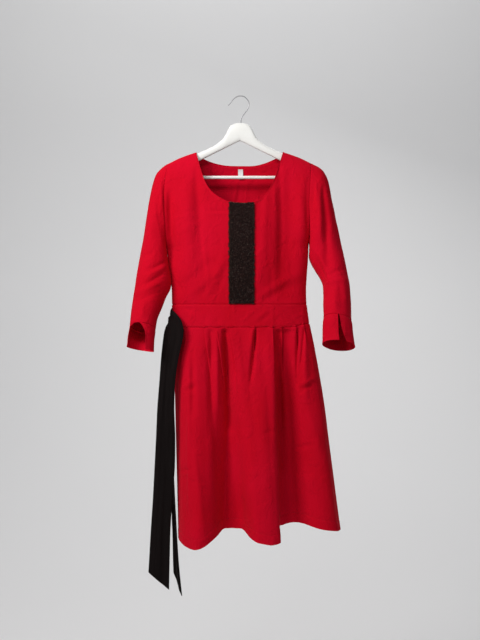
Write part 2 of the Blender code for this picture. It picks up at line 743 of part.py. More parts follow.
def build():
    """All pieces of the dress and of its hanger."""
    for old in list(bpy.data.objects):
        bpy.data.objects.remove(old, do_unlink=True)
    bodice_panel("bodice_front", FRONT, FRONT_NECK)
    bodice_panel("bodice_back", BACK, BACK_NECK)
    waistband_panel("waistband_front", FRONT)
    waistband_panel("waistband_back", BACK)
    skirt_panel("skirt_front", FRONT, FRONT_FOLDS, FRONT_PLEATS)
    skirt_panel("skirt_back", BACK, BACK_FOLDS, BACK_PLEATS)
    sleeve("sleeve_right", -1, RIGHT_SLEEVE)
    sleeve("sleeve_left", 1, LEFT_SLEEVE)
    cuff("cuff_right", -1, RIGHT_CUFF)
    cuff("cuff_left", 1, LEFT_CUFF)
    plastron = (PLASTRON_RIGHT, PLASTRON_LEFT, PLASTRON_TOP, PLASTRON_BOTTOM)
    plastron_lift = -(CLOTH / 2 + SEAM + PLASTRON_CLOTH / 2)
    patch("front_panel", FRONT, plastron, plastron_lift, PLASTRON_CLOTH, BLACK_BOUCLE, 12, 4)
    label = (LABEL_RIGHT, LABEL_LEFT, LABEL_TOP, LABEL_BOTTOM)
    label_lift = -(CLOTH / 2 + LABEL_GAP + LABEL_CLOTH / 2)
    patch("neck_label", BACK, label, label_lift, LABEL_CLOTH, WHITE_LABEL, 3, 2)
    tie("tie_front", FRONT_TIE)
    tie("tie_back", BACK_TIE)
    hanger_body()
    hanger_bar()
    hanger_hook()


build()
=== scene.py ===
import math
import random

import bpy
import numpy as np
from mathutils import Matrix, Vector


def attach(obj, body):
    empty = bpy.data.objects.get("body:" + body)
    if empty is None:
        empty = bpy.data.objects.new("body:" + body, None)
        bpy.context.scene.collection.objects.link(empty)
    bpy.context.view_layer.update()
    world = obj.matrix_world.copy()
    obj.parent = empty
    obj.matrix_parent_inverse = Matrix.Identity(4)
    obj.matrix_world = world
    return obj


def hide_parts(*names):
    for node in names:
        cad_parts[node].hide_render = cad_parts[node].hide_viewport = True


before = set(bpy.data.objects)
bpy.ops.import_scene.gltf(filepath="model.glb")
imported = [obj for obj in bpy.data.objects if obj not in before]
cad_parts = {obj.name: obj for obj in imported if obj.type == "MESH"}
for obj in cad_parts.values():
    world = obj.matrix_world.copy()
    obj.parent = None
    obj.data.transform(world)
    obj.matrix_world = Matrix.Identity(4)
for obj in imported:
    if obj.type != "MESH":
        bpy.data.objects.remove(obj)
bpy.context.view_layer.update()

# A knee-length red dress with three-quarter sleeves, a black looped panel on its chest and a black
# tie at its side, hung on an off-white wooden hanger. Metres, +Z up. The front faces -Y and the
# wearer's left is +X. Heights are drops below the inside top of the hook's bend.

FRONT, BACK = -1, 1
RIGHT, LEFT = -1, 1
FULL_TURN = 6.283


def tenths(*rows):
    """Table given in tenths of a millimetre, and its shares in ten-thousandths."""
    return np.array(rows) / 10000


# Cloth
CAD_CLOTH = 0.0015
CLOTH = 0.0010
TIE_CLOTH = 0.0014
SEAM = 0.0003
SEAM_DIP = 0.0011
SEAM_DIP_REACH = 0.0035
# Seam allowance behind the neighbouring piece: how far past the seam, how far behind
ALLOWANCE = ((0.0003, 0.0007), (0.0010, 0.0013), (0.0045, 0.0013))
TURNING = 0.0005
# Rows of stitches: how far from the edge or the seam
NECK_STITCHES = 0.0058
BAND_STITCHES = 0.0034
HEM_STITCHES = 0.0245
CUFF_STITCHES = 0.0055
SLIT_STITCHES = 0.0050
# Rings of one stitch: share of its length, lift and width in thread radii
STITCH_FORM = ((-0.5, -0.9, 0.6), (-0.3, 0.55, 1.0), (0.3, 0.55, 1.0), (0.5, -0.9, 0.6))
STITCH_SIDES = 4
SHARE_STEP = 0.0185
SHARP_DEGREES = 62
# Share of the seam's dip that an armhole has
ARMHOLE_DIP = {RIGHT: 0.18, LEFT: 0.60}

# Main heights
WAIST_TOP = 0.5304
WAIST_BOTTOM = 0.5885
WAIST_LIFT = 0.009
WAIST_LIFT_START = 0.125
WAIST_LIFT_END = 0.175

# Torso: drop, right edge, left edge, front depth, back depth
BODY = tenths(
    (1600, 1845, 1805, 300, 300), (1900, 1860, 1790, 340, 340), (2260, 1900, 1760, 380, 370),
    (2730, 1925, 1735, 430, 410), (3400, 1910, 1755, 490, 440), (4060, 1840, 1740, 520, 450),
    (4420, 1795, 1715, 510, 450), (4900, 1740, 1685, 480, 440), (5304, 1730, 1696, 460, 420),
    (5885, 1720, 1775, 480, 440),
)
RIGHT_EDGE, LEFT_EDGE, FRONT_DEPTH, BACK_DEPTH = 1, 2, 3, 4
SHOULDER_ROUND = 0.12
# Shoulder ridge: distance from the middle, drop
RIDGE = tenths(
    (0, 1080), (500, 1190), (1100, 1415), (1380, 1510), (1580, 1590), (1780, 1690), (1900, 1750),
)
TIP_LEVEL = 0.173
UNDERARM = {RIGHT: 0.385, LEFT: 0.375}
ARMHOLE_DEPTH = 0.031
ARMHOLE_SOFTNESS = 0.35
UNDERARM_BLEND = 0.06
CHEST_BLEND = 0.17

# Necklines: share across the panel, x, drop
FRONT_NECK = tenths(
    (-5500, -1115, 1428), (-4700, -990, 1890), (-3900, -860, 2247), (-3000, -663, 2507),
    (-1500, -290, 2716), (0, 30, 2722), (1800, 360, 2712), (2900, 570, 2603), (3800, 734, 2410),
    (4600, 898, 2050), (5200, 1035, 1610), (5600, 1094, 1420),
)
BACK_NECK = tenths(
    (-5500, -1115, 1428), (-4400, -890, 1590), (-2200, -450, 1716), (0, 20, 1740),
    (2200, 450, 1722), (4500, 900, 1570), (5600, 1094, 1420),
)

# Skirt: x at the waist, x at the hem, depth at the hem, drop of the hem
FRONT_FOLDS = tenths(
    (-1720, -1570, 0, 11240), (-1620, -1500, 370, 11266), (-1500, -1350, 700, 11341),
    (-1350, -1120, 1000, 11374), (-1200, -900, 1000, 11308), (-1070, -700, 850, 11170),
    (-970, -575, 680, 11072), (-850, -450, 400, 10974), (-700, -300, 270, 10962),
    (-500, -90, 280, 10960), (-330, 85, 410, 10970), (-180, 240, 720, 11109), (0, 400, 950, 11192),
    (200, 560, 1010, 11225), (450, 760, 1010, 11257), (600, 880, 970, 11249),
    (740, 980, 900, 11227), (800, 1010, 780, 11194), (870, 1005, 320, 10925),
    (940, 1080, 180, 10900), (1080, 1300, 130, 10845), (1270, 1580, 210, 10845),
    (1460, 2030, 500, 10950), (1640, 2430, 420, 11010), (1775, 2565, 0, 11040),
)
BACK_FOLDS = tenths(
    (-1720, -1570, 0, 11240), (-1580, -1500, 550, 11170), (-1300, -1140, 980, 11120),
    (-1000, -800, 880, 11040), (-720, -520, 520, 10940), (-450, -250, 500, 10920),
    (-150, 80, 900, 11020), (150, 420, 1040, 11060), (450, 750, 880, 11000),
    (720, 1050, 500, 10920), (980, 1320, 480, 10920), (1250, 1700, 880, 11000),
    (1480, 2100, 900, 11040), (1660, 2430, 540, 11030), (1775, 2565, 0, 11040),
)
# Share down the skirt, and share of the way that its cloth has moved from waist to hem
SPREAD = tenths(
    (0, 0), (1200, 1650), (3700, 4550), (5700, 6250), (7700, 8000), (10000, 10000),
)
# Pleats: x of the folded edge at the seam, side on top, lap, height, share of the skirt they run
FRONT_PLEATS = (
    (-0.0915, 1, 0.0075, 0.0085, 0.30),
    (-0.0600, 1, 0.0075, 0.0085, 0.36),
    (-0.0270, 1, 0.0080, 0.0120, 0.34),
    (0.0370, -1, 0.0080, 0.0090, 0.14),
    (0.0830, -1, 0.0080, 0.0140, 0.70),
    (0.1060, -1, 0.0065, 0.0085, 0.30),
    (0.1415, -1, 0.0065, 0.0080, 0.14),
    (0.1620, -1, 0.0050, 0.0065, 0.12),
)
BACK_PLEATS = (
    (-0.118, 1, 0.0075, 0.0085, 0.46),
    (-0.080, 1, 0.0080, 0.0095, 0.62),
    (-0.042, 1, 0.0080, 0.0105, 0.50),
    (0.042, -1, 0.0080, 0.0105, 0.55),
    (0.080, -1, 0.0080, 0.0095, 0.60),
    (0.118, -1, 0.0075, 0.0085, 0.44),
)
PLEAT_TURN = 0.0027
PLEAT_REACH = 0.024
PLEAT_START = 0.14
PLEAT_GROWTH = 2.3
SKIRT_STEP = 0.0021

# Sleeves: outer x, outer drop, inner x, inner drop, half depth, centre y, tilt of the ring
RIGHT_SLEEVE = tenths(
    (2005, 1835, 1872, 3910, 350, 0, 0), (2135, 1980, 1860, 3990, 380, 0, 0),
    (2217, 2200, 1850, 4090, 400, 0, 0), (2270, 2435, 1837, 4190, 420, 0, 0),
    (2321, 2740, 1819, 4300, 430, 0, 0), (2382, 3150, 1800, 4420, 440, -10, 200),
    (2455, 3620, 1775, 4560, 440, -30, 600), (2556, 4120, 1758, 4720, 430, -70, 1400),
    (2625, 4550, 1785, 4900, 420, -140, 2400), (2662, 4950, 1895, 5120, 400, -240, 3400),
    (2712, 5350, 1972, 5360, 370, -360, 3800), (2745, 5640, 2075, 5650, 340, -460, 4000),
    (2760, 5860, 2118, 5935, 330, -530, 4200),
)
LEFT_SLEEVE = tenths(
    (1990, 1805, 1762, 3830, 350, 0, 0), (2118, 1925, 1755, 3910, 380, 0, 0),
    (2230, 2140, 1751, 3990, 400, 0, 0), (2303, 2435, 1750, 4080, 420, 0, 0),
    (2375, 2800, 1774, 4190, 430, 0, 0), (2468, 3250, 1835, 4320, 440, -10, 200),
    (2564, 3720, 1925, 4470, 440, -30, 600), (2655, 4120, 2018, 4620, 430, -70, 1400),
    (2722, 4520, 2105, 4820, 420, -140, 2400), (2776, 4900, 2118, 5060, 400, -240, 3400),
    (2790, 5300, 2108, 5300, 370, -360, 4000), (2792, 5737, 2096, 5637, 340, -500, 4200),
)
# Cuffs: the same, and the angles where the slit starts and ends
RIGHT_CUFF = (
    (0.2761, 0.5863, 0.2119, 0.5938, 0.033, -0.0531, 0.42, 58, 82),
    (0.2768, 0.5935, 0.2124, 0.6015, 0.033, -0.0560, 0.38, 24, 97),
    (0.2782, 0.6070, 0.2135, 0.6160, 0.033, -0.0610, 0.32, 8, 111),
    (0.2802, 0.6230, 0.2146, 0.6335, 0.032, -0.0670, 0.22, 3, 115),
    (0.2817, 0.6370, 0.2148, 0.6488, 0.031, -0.0720, 0.12, 3, 115),
)
LEFT_CUFF = (
    (0.2793, 0.5740, 0.2097, 0.5640, 0.034, -0.0501, 0.42, 88, 93),
    (0.2800, 0.5820, 0.2092, 0.5725, 0.035, -0.0530, 0.42, 86, 93),
    (0.2816, 0.5985, 0.2078, 0.5910, 0.035, -0.0590, 0.42, 82, 93),
    (0.2840, 0.6195, 0.2062, 0.6120, 0.034, -0.0660, 0.42, 75, 93),
    (0.2864, 0.6376, 0.2056, 0.6290, 0.033, -0.0720, 0.42, 64, 92),
)

# Ties: outer edge x, y, drop, then inner edge x, y, drop
FRONT_TIE = tenths(
    (-1743, -14, 5800, -1743, -30, 5400), (-1825, -120, 5820, -1730, -250, 5440),
    (-1880, -220, 5890, -1600, -400, 5550), (-1922, -300, 6050, -1450, -480, 5780),
    (-1958, -350, 6350, -1425, -540, 6100), (-1992, -380, 6720, -1530, -560, 6600),
    (-2026, -400, 7200, -1618, -560, 7180), (-2080, -400, 7900, -1650, -520, 7900),
    (-2112, -380, 8600, -1628, -500, 8600), (-2153, -360, 9400, -1638, -480, 9400),
    (-2197, -340, 10200, -1700, -440, 10200), (-2245, -330, 10930, -1748, -420, 10930),
    (-2279, -320, 11500, -1767, -410, 11600), (-2311, -320, 12065, -1786, -400, 12490),
)
BACK_TIE = tenths(
    (-1743, 14, 5800, -1743, 30, 5400), (-1800, 80, 5820, -1785, 240, 5480),
    (-1820, 110, 5920, -1800, 390, 5620), (-1830, 130, 6120, -1800, 500, 5900),
    (-1830, 140, 6500, -1790, 570, 6350), (-1820, 140, 7100, -1780, 600, 7000),
    (-1800, 130, 7900, -1765, 610, 7850), (-1785, 120, 8800, -1755, 610, 8800),
    (-1770, 110, 9700, -1728, 600, 9700), (-1740, 110, 10600, -1683, 590, 10600),
    (-1725, 110, 11400, -1640, 580, 11400), (-1714, 110, 11880, -1592, 570, 12120),
    (-1703, 110, 12150, -1512, 560, 12870),
)

# Chest panel and neck label: right, left, top, bottom
PANEL = (-0.0268, 0.0344, 0.2735, 0.5290)
PANEL_CLOTH = 0.0014
LABEL = (-0.0049, 0.0077, 0.1825, 0.2072)
LABEL_CLOTH = 0.0006
LABEL_GAP = 0.0006
LABEL_STITCHES = (0.0013, 0.0024)
# Pitch, length and thread radius of the label's stitches
LABEL_STITCH = (0.0017, 0.0012, 0.00012)
PANEL_SAG = 0.0022
PANEL_LOOPS = 4000
YARN_BENDS = 8
YARN_SIDES = 3
YARN_RADIUS = 0.00050
# Boucle: dark, brown and grey of its yarn, and how much grey
BOUCLE = (
    ("black_boucle_ground", (0.006, 0.0032, 0.0032), (0.018, 0.009, 0.008), (0.03, 0.02, 0.018), 0.3),
    ("black_boucle_loops", (0.004, 0.0022, 0.0022), (0.052, 0.022, 0.019), (0.55, 0.46, 0.40), 0.75),
)

# Camera and studio
CAMERA_DISTANCE = 3.0
CAMERA_Z = -0.570
VIEW_HEIGHT = 1.632
FLOOR_Z = -1.75
WALL_Y = 3.9
SWEEP_RADIUS = 2.4
FLOOR_FRONT_Y = -6.0
WALL_TOP_Z = 4.0
BACKDROP_HALF_WIDTH = 14.0
SENSOR_MM = 36.0
ROOM_COLOUR = (0.93, 0.95, 1.0, 1)
# Lamps: place, the point they face, size, power, colour
LAMPS = (
    ("key_light", (-1.45, -1.35, 0.65), (0.0, 0.0, -0.35), (0.8, 0.8), 35.5, (1.0, 0.985, 0.965)),
    ("top_light", (-0.4, -1.2, 0.5), (0.0, 0.0, -0.17), (0.3, 0.3), 7.0, (1.0, 0.99, 0.975)),
    ("fill_light", (2.0, -2.8, 0.3), (0.0, 0.0, -0.5), (1.6, 1.6), 7.0, (0.97, 0.985, 1.0)),
    ("wall_light", (0.0, 1.9, 2.9), (0.0, 3.9, -0.6), (3.6, 0.8), 75.0, (1.0, 1.0, 1.0)),
    ("back_light", (0.9, 2.9, 1.75), (0.0, 0.0, -0.5), (1.0, 1.0), 34.0, (1.0, 0.99, 0.98)),
)

# Hanger: distance from its middle, drop of the top, drop of the underside, half thickness
HANGER_MIDDLE = 0.0004
HANGER = tenths(
    (0, 677, 1135, 70), (100, 682, 1184, 70), (180, 705, 1223, 70), (244, 742, 1255, 70),
    (282, 790, 1273, 70), (320, 865, 1292, 70), (355, 945, 1309, 70), (400, 1025, 1331, 69),
    (455, 1095, 1358, 68), (530, 1160, 1395, 67), (625, 1235, 1441, 66), (760, 1308, 1507, 64),
    (900, 1373, 1576, 62), (1050, 1438, 1648, 56), (1150, 1474, 1690, 56), (1380, 1535, 1775, 60),
    (1580, 1611, 1850, 60), (1730, 1688, 1895, 60), (1795, 1722, 1915, 60), (1800, 1724, 2125, 60),
    (1880, 1768, 2135, 58), (1950, 1830, 2090, 52), (1985, 1890, 2010, 36),
)
# Where the underside turns into the straight end of the arm
HANGER_BEND = 0.170
ROD_SIDES = 28
HANGER_STEP = 0.0022
BAR_RADIUS = 0.0042
BAR_DROP = 0.2066
BAR_HALF_LENGTH = 0.1792
HOOK_RADIUS = 0.0013
# Middle of the hook's wire from its tip to the boss: x, drop
HOOK_LINE = tenths(
    (-308, 226), (-277, 205), (-236, 147), (-162, 61), (-67, 1), (20, -13), (108, 6), (184, 71),
    (226, 168), (208, 290), (137, 403), (62, 510), (27, 585), (25, 675),
)

# Creases pressed into the cloth, as seen from the front or the back:
# x and drop of one end, x and drop of the other, bend to the side, half width, height
BODICE_FRONT_CREASES = tenths(
    (-1770, 2500, -1745, 4150, 0, 100, -105), (-1120, 1900, -1020, 4250, 30, 110, -45),
    (-1330, 2300, -1260, 5000, 0, 260, 70), (-1020, 3200, -840, 4930, 0, 28, -24),
    (-980, 3300, -790, 4900, 0, 50, 21), (-900, 2960, -300, 2980, 10, 22, -19),
    (-880, 3020, -320, 3040, 10, 35, 14), (-1380, 3260, -1180, 3170, 10, 30, -16),
    (-1500, 3450, -1280, 3380, 0, 40, 14), (680, 2050, 460, 5000, 30, 110, 28),
    (980, 1720, 1020, 4700, 30, 90, -45), (1200, 2150, 1200, 5150, 0, 260, -120),
    (1560, 2300, 1560, 4600, 0, 150, 50), (1740, 2050, 1715, 3450, 0, 50, -34),
    (380, 5190, 1580, 4500, 40, 80, 30), (520, 5270, 1600, 4740, 30, 60, -23),
    (-1500, 5200, -450, 4300, -60, 90, 24), (-1600, 4920, -700, 4180, -40, 70, -21),
    (-900, 5240, -380, 4000, -30, 70, 21), (-660, 5240, -340, 4400, 0, 50, -16),
    (800, 5150, 780, 4300, 0, 60, -18),
)
BODICE_BACK_CREASES = tenths(
    (-50, 2120, -180, 2800, 10, 35, -23), (-10, 2150, -130, 2850, 10, 50, 21),
    (600, 2300, 350, 4800, 40, 140, 40), (-700, 2200, -450, 4900, 40, 130, 42),
    (1050, 1950, 1150, 4400, 20, 120, -46), (-1100, 2000, -1140, 4500, -20, 120, -48),
    (880, 3400, 780, 5100, 0, 28, -20), (-900, 3350, -800, 5080, 0, 28, -20),
    (1550, 4500, 600, 5050, 30, 70, 22), (-1500, 4550, -560, 4980, 30, 70, 22),
    (250, 3300, 850, 3450, 20, 40, -13), (-900, 2980, -200, 3060, 20, 40, -13),
    (1700, 2150, 1690, 3450, 0, 60, -32), (-1800, 2250, -1780, 3850, 0, 70, -40),
)
WAISTBAND_FRONT_CREASES = tenths(
    (380, 5710, 700, 5450, 10, 40, 15), (480, 5770, 760, 5560, 10, 35, -14),
    (-1450, 5400, -1050, 5520, 20, 60, -14), (1080, 5450, 1400, 5710, 10, 50, -14),
    (-900, 5840, -860, 5600, 0, 40, -15), (-600, 5840, -580, 5660, 0, 40, -14),
    (900, 5840, 930, 5620, 0, 40, -14), (-200, 5380, 250, 5410, 0, 40, -10),
)
WAISTBAND_BACK_CREASES = tenths(
    (-800, 5840, -780, 5600, 0, 40, -15), (420, 5840, 440, 5620, 0, 40, -14),
    (1180, 5840, 1190, 5620, 0, 40, -14), (-1400, 5450, -900, 5600, 20, 60, 14),
    (500, 5560, 1000, 5450, 20, 60, -14),
)
SKIRT_FRONT_CREASES = tenths(
    (-1280, 6900, -1265, 10500, 10, 45, 36), (-1200, 6500, -1180, 8100, 10, 70, -42),
    (-1450, 6400, -1440, 8000, 10, 100, 30), (-1390, 7400, -1150, 7220, 10, 45, 31),
    (-1360, 7520, -1120, 7380, 10, 45, -28), (-1480, 9500, -1200, 9440, 10, 35, -20),
    (-1460, 9580, -1180, 9520, 10, 40, 17), (1480, 7370, 1900, 7160, 10, 45, 39),
    (1520, 7500, 1850, 7310, 10, 50, -34), (1720, 8000, 2120, 9600, 30, 140, 30),
    (-1130, 9000, -930, 11100, 20, 80, 34), (200, 7000, 320, 9000, 20, 120, -22),
    (480, 6900, 620, 10000, 30, 150, 30), (-20, 6400, 40, 8000, 20, 100, 26),
    (560, 8550, 840, 8460, 10, 50, -18), (1200, 9000, 1900, 8840, 20, 60, -17),
)
SKIRT_BACK_CREASES = tenths(
    (-1360, 6400, -1260, 9800, 20, 120, 36), (-150, 6400, 0, 9000, 20, 130, 34),
    (500, 6600, 620, 9600, 30, 130, -30), (1250, 6600, 1660, 10000, 30, 130, 34),
    (-1000, 8000, -560, 7860, 10, 50, -22), (900, 9300, 1360, 9450, 10, 50, -21),
    (-300, 10000, 250, 9900, 10, 50, -17),
)
# Deep valleys between the pleats
SKIRT_FRONT_VALLEYS = tenths(
    (-735, 5880, -720, 8600, 0, 85, -85), (-385, 5880, -265, 8400, 0, 90, -250),
    (-265, 8000, -440, 10800, 0, 120, -170), (-590, 5880, -550, 8000, 0, 55, 45),
    (-660, 6800, -600, 10100, 0, 190, 120), (395, 5850, 275, 7250, 0, 45, -110),
    (980, 5880, 1050, 9400, 0, 100, -230), (1180, 6000, 1260, 10600, 0, 190, -180),
    (1440, 5850, 1445, 7350, 0, 42, -70), (1635, 5850, 1490, 7350, 0, 42, -60),
    (1640, 6100, 1620, 7900, 0, 100, 60), (660, 6000, 720, 8000, 0, 120, 30),
)
SKIRT_BACK_VALLEYS = tenths(
    (-980, 5880, -840, 8300, 0, 90, -110), (-560, 5880, -440, 8800, 0, 90, -130),
    (560, 5880, 740, 8800, 0, 90, -130), (980, 5880, 1220, 8400, 0, 90, -110),
)
RIGHT_SLEEVE_FRONT_CREASES = tenths(
    (-1840, 4200, -2320, 4460, 20, 42, -30), (-1860, 4340, -2450, 4640, 20, 55, 32),
    (-1900, 4520, -2560, 4880, 30, 45, -32), (-1960, 4740, -2650, 5050, 20, 55, 28),
    (-2050, 5000, -2640, 5230, 10, 45, -22), (-2060, 2400, -2110, 4000, 40, 120, -30),
    (-2280, 2550, -2340, 3900, 20, 80, 25), (-1990, 2220, -1980, 3000, 10, 50, 32),
    (-2160, 4000, -2550, 4120, 20, 60, -20), (-2400, 5300, -2430, 5620, 0, 50, 20),
)
LEFT_SLEEVE_FRONT_CREASES = tenths(
    (1990, 2450, 2010, 3700, 10, 80, 45), (2110, 2350, 2190, 4500, 20, 80, -80),
    (1850, 4050, 2150, 4820, 40, 60, -34), (1980, 4000, 2270, 4780, 30, 65, 37),
    (2140, 4620, 2680, 4400, 20, 50, -22), (2160, 4780, 2720, 4680, 20, 55, 20),
    (2480, 4700, 2520, 5600, 20, 90, -28), (1920, 2220, 1910, 3000, 10, 45, 28),
    (2340, 5000, 2360, 5600, 10, 60, 20),
)
SLEEVE_BACK_CREASES = tenths(
    (2150, 2400, 2200, 3800, 30, 90, 35), (1900, 4250, 2500, 4500, 20, 60, -28),
    (1950, 4450, 2580, 4700, 20, 60, 28), (2050, 4700, 2640, 4920, 20, 55, -25),
    (2350, 5000, 2400, 5550, 10, 70, 22),
)
CUFF_CREASES = tenths(
    (2350, 5850, 2400, 6320, 10, 60, 14), (2650, 5800, 2680, 6250, 10, 60, -14),
)
# Tie folds: share across and share along of one end, the same of the other, half width, height
FRONT_TIE_FOLDS = tenths(
    (4500, 200, 3000, 5500, 1000, 32), (7200, 0, 6200, 4500, 800, -28),
    (2500, 1000, 7200, 9800, 1200, -20), (6000, 4000, 4800, 10000, 1400, 24),
    (8800, 500, 8400, 7000, 700, 18), (2000, 5500, 2500, 10000, 900, 14),
)
BACK_TIE_FOLDS = tenths(
    (4000, 200, 5500, 6000, 1200, 30), (7000, 1000, 3000, 9800, 1200, -24),
    (2000, 3000, 7500, 10000, 1200, 20),
)


def mix(start, end, share):
    """Value the given share of the way from start to end."""
    return start + (end - start) * share


def ease(share):
    """Share that leaves 0 and reaches 1 softly."""
    share = np.clip(share, 0.0, 1.0)
    return share * share * (3.0 - 2.0 * share)


def hermite(start, end, start_slope, end_slope, t):
    """Cubic between two values with the given slopes."""
    return (
        (2 * t**3 - 3 * t**2 + 1) * start
        + (t**3 - 2 * t**2 + t) * start_slope
        + (3 * t**2 - 2 * t**3) * end
        + (t**3 - t**2) * end_slope
    )


def read(table, key, column):
    """Smooth curve through one column of a table whose first column rises."""
    rows = np.asarray(table, dtype=float)
    marks, values = rows[:, 0], rows[:, column]
    before = np.maximum(np.arange(len(marks)) - 1, 0)
    after = np.minimum(np.arange(len(marks)) + 1, len(marks) - 1)
    slopes = (values[after] - values[before]) / (marks[after] - marks[before])
    key = np.clip(key, marks[0], marks[-1])
    row = np.clip(np.searchsorted(marks, key) - 1, 0, len(marks) - 2)
    span = marks[row + 1] - marks[row]
    t = (key - marks[row]) / span
    return hermite(values[row], values[row + 1], slopes[row] * span, slopes[row + 1] * span, t)


def row_at(table, place):
    """All columns of a table at a place counted in rows, on a smooth curve."""
    rows = np.asarray(table, dtype=float)
    last = len(rows) - 1
    row = min(int(place), last - 1)
    before, after = rows[max(row - 1, 0)], rows[min(row + 2, last)]
    start, end = rows[row], rows[row + 1]
    return hermite(start, end, (end - before) / 2, (after - start) / 2, place - row)


def stops(marks, step):
    """Values through all the marks, no further apart than the step."""
    values = [marks[0]]
    for start, end in zip(marks, marks[1:]):
        count = max(1, math.ceil((end - start) / step - 0.01))
        values.extend(mix(start, end, i / count) for i in range(1, count + 1))
    return np.array(values)


def band_bottom(x):
    """Drop of the waistband's lower seam, which lifts a little at the wearer's left."""
    rise = ease((x - WAIST_LIFT_START) / (WAIST_LIFT_END - WAIST_LIFT_START))
    return WAIST_BOTTOM - WAIST_LIFT * rise


def ridge_drop(x):
    """Drop of the cloth's middle along the shoulder ridge."""
    return read(RIDGE, np.abs(x), 1) + CAD_CLOTH / 2


def underarm_drop(side):
    """Drop of the underarm on each side."""
    return np.where(np.asarray(side) < 0, UNDERARM[RIGHT], UNDERARM[LEFT])


def torso_middle(drop):
    """Middle x and half width of the torso at a drop."""
    right, left = read(BODY, drop, RIGHT_EDGE), read(BODY, drop, LEFT_EDGE)
    return (left - right) / 2, (left + right) / 2


def shoulder_tip(side):
    """x and drop of the outer end of a shoulder ridge."""
    middle, half = torso_middle(TIP_LEVEL)
    x = middle + side * half
    return x, ridge_drop(x)


def torso_point(face, across, drop):
    """Point of the torso's cloth. across runs from -1 at the right edge to 1 at the left."""
    across, drop = np.broadcast_arrays(np.asarray(across, float), np.asarray(drop, float))
    middle, half = torso_middle(drop)
    x = middle + across * half
    top, bottom = ridge_drop(x), underarm_drop(across)
    height = (2 * drop - top - bottom) / (bottom - top)
    arc = 1.0 - height * height
    soft = np.sqrt((arc + np.hypot(arc, ARMHOLE_SOFTNESS)) / 2)
    armhole = ARMHOLE_DEPTH * mix(soft, np.sqrt(np.maximum(0.0, arc)), across**8)
    depth = read(BODY, drop, FRONT_DEPTH if face == FRONT else BACK_DEPTH)
    below = np.clip((drop - top) / SHOULDER_ROUND, 0.0, 1.0)
    depth = depth * np.sqrt(1.0 - (1.0 - below) ** 2)
    rim = np.minimum(armhole, depth)
    flat = ease((bottom + UNDERARM_BLEND - drop) / CHEST_BLEND)
    bulge = np.maximum(0.0, 1.0 - across * across) ** mix(0.5, 1.0, flat)
    return np.stack((x, face * (SEAM / 2 + rim + (depth - rim) * bulge), -drop), axis=-1)


def top_edge(neck, share):
    """x and drop of a bodice panel's top edge: the shoulders with the neckline between them."""
    first, last = neck[0], neck[-1]
    side = np.where(share < 0, -1, 1)
    inner_share = np.where(share < 0, first[0], last[0])
    inner_x = np.where(share < 0, first[1], last[1])
    tip_x = np.where(share < 0, shoulder_tip(RIGHT)[0], shoulder_tip(LEFT)[0])
    shoulder_x = mix(inner_x, tip_x, (share - inner_share) / (side - inner_share))
    in_neck = (share >= first[0]) & (share <= last[0])
    x = np.where(in_neck, read(neck, share, 1), shoulder_x)
    return x, np.where(in_neck, read(neck, share, 2), ridge_drop(shoulder_x))


def bodice_form(face, neck, shares, ups):
    """Grid of a bodice panel: shares run across it and ups from the waist to the top edge."""
    share, up = np.meshgrid(shares, ups)
    top_x, top_drop = top_edge(neck, share)
    drop = mix(WAIST_TOP - SEAM / 2, top_drop, up)
    middle, half = torso_middle(top_drop)
    across = mix(np.sin(share * math.pi / 2), (top_x - middle) / half, up)
    return torso_point(face, np.clip(across, -1.0, 1.0), drop)


def waistband_form(face, shares, downs):
    """Grid of a waistband panel, between the bodice and the skirt."""
    share, down = np.meshgrid(shares, downs)
    across = np.sin(share * math.pi / 2)
    middle, half = torso_middle(WAIST_BOTTOM)
    bottom = band_bottom(middle + across * half) - SEAM / 2
    return torso_point(face, across, mix(WAIST_TOP + SEAM / 2, bottom, down))


def lay_pleats(pleats, waist_x, down):
    """How far the cloth slides sideways and stands out where it is folded over into pleats."""
    slide, lift = np.zeros_like(waist_x), np.zeros_like(waist_x)
    for edge, over, lap, height, run in pleats:
        centre = edge + over * (lap - PLEAT_TURN)
        away = (waist_x - centre) * over
        turn = away / PLEAT_TURN
        left_over = np.clip(1.0 - down / run, 0.0, 1.0)
        curl = turn * np.exp(0.5 * (1.0 - turn * turn))
        slide -= over * lap * left_over**1.3 * curl
        rise = (PLEAT_START + PLEAT_GROWTH * down / run) * left_over**1.25
        falloff = np.maximum(0.0, 1.0 - np.abs(away) / PLEAT_REACH) ** 1.5
        lift += height * rise * np.tanh(1.6 * turn) * falloff
    return slide, lift


def skirt_form(face, folds, pleats, columns, downs):
    """Grid of a skirt panel: columns are x at the waist and downs run to the hem."""
    waist_x, down = np.meshgrid(columns, downs)
    middle, half = torso_middle(WAIST_BOTTOM)
    across = np.clip((waist_x - middle) / half, -1.0, 1.0)
    waist = torso_point(face, across, np.full_like(waist_x, WAIST_BOTTOM))
    waist_z = -band_bottom(waist_x) - SEAM / 2
    hem_x = read(folds, waist_x, 1)
    hem_y = face * (SEAM / 2 + np.maximum(0.0, read(folds, waist_x, 2)))
    hem_z = -read(folds, waist_x, 3)
    spread = read(SPREAD, down, 1)
    slide, lift = lay_pleats(pleats, waist_x, down)
    near_side = np.clip((1.0 - np.abs(across)) * 14.0, 0.0, 1.0)
    x = mix(waist[..., 0], hem_x, spread) + slide * near_side
    y = mix(waist[..., 1], hem_y, spread) + face * lift * near_side
    return np.stack((x, y, mix(waist_z, hem_z, down)), axis=-1)


def skirt_columns(folds, pleats):
    """Lines of cloth across a skirt panel, close together where a pleat turns."""
    first, last = folds[0][0], folds[-1][0]
    edge = [0.0, 0.0006, 0.0015, 0.003, 0.005, 0.009]
    marks = [first + e for e in edge] + [last - e for e in reversed(edge)]
    for place, over, lap, *_ in pleats:
        centre = place + over * (lap - PLEAT_TURN)
        marks += [centre + PLEAT_TURN * step / 4 for step in range(-12, 13)]
    return stops(sorted(marks), SKIRT_STEP)


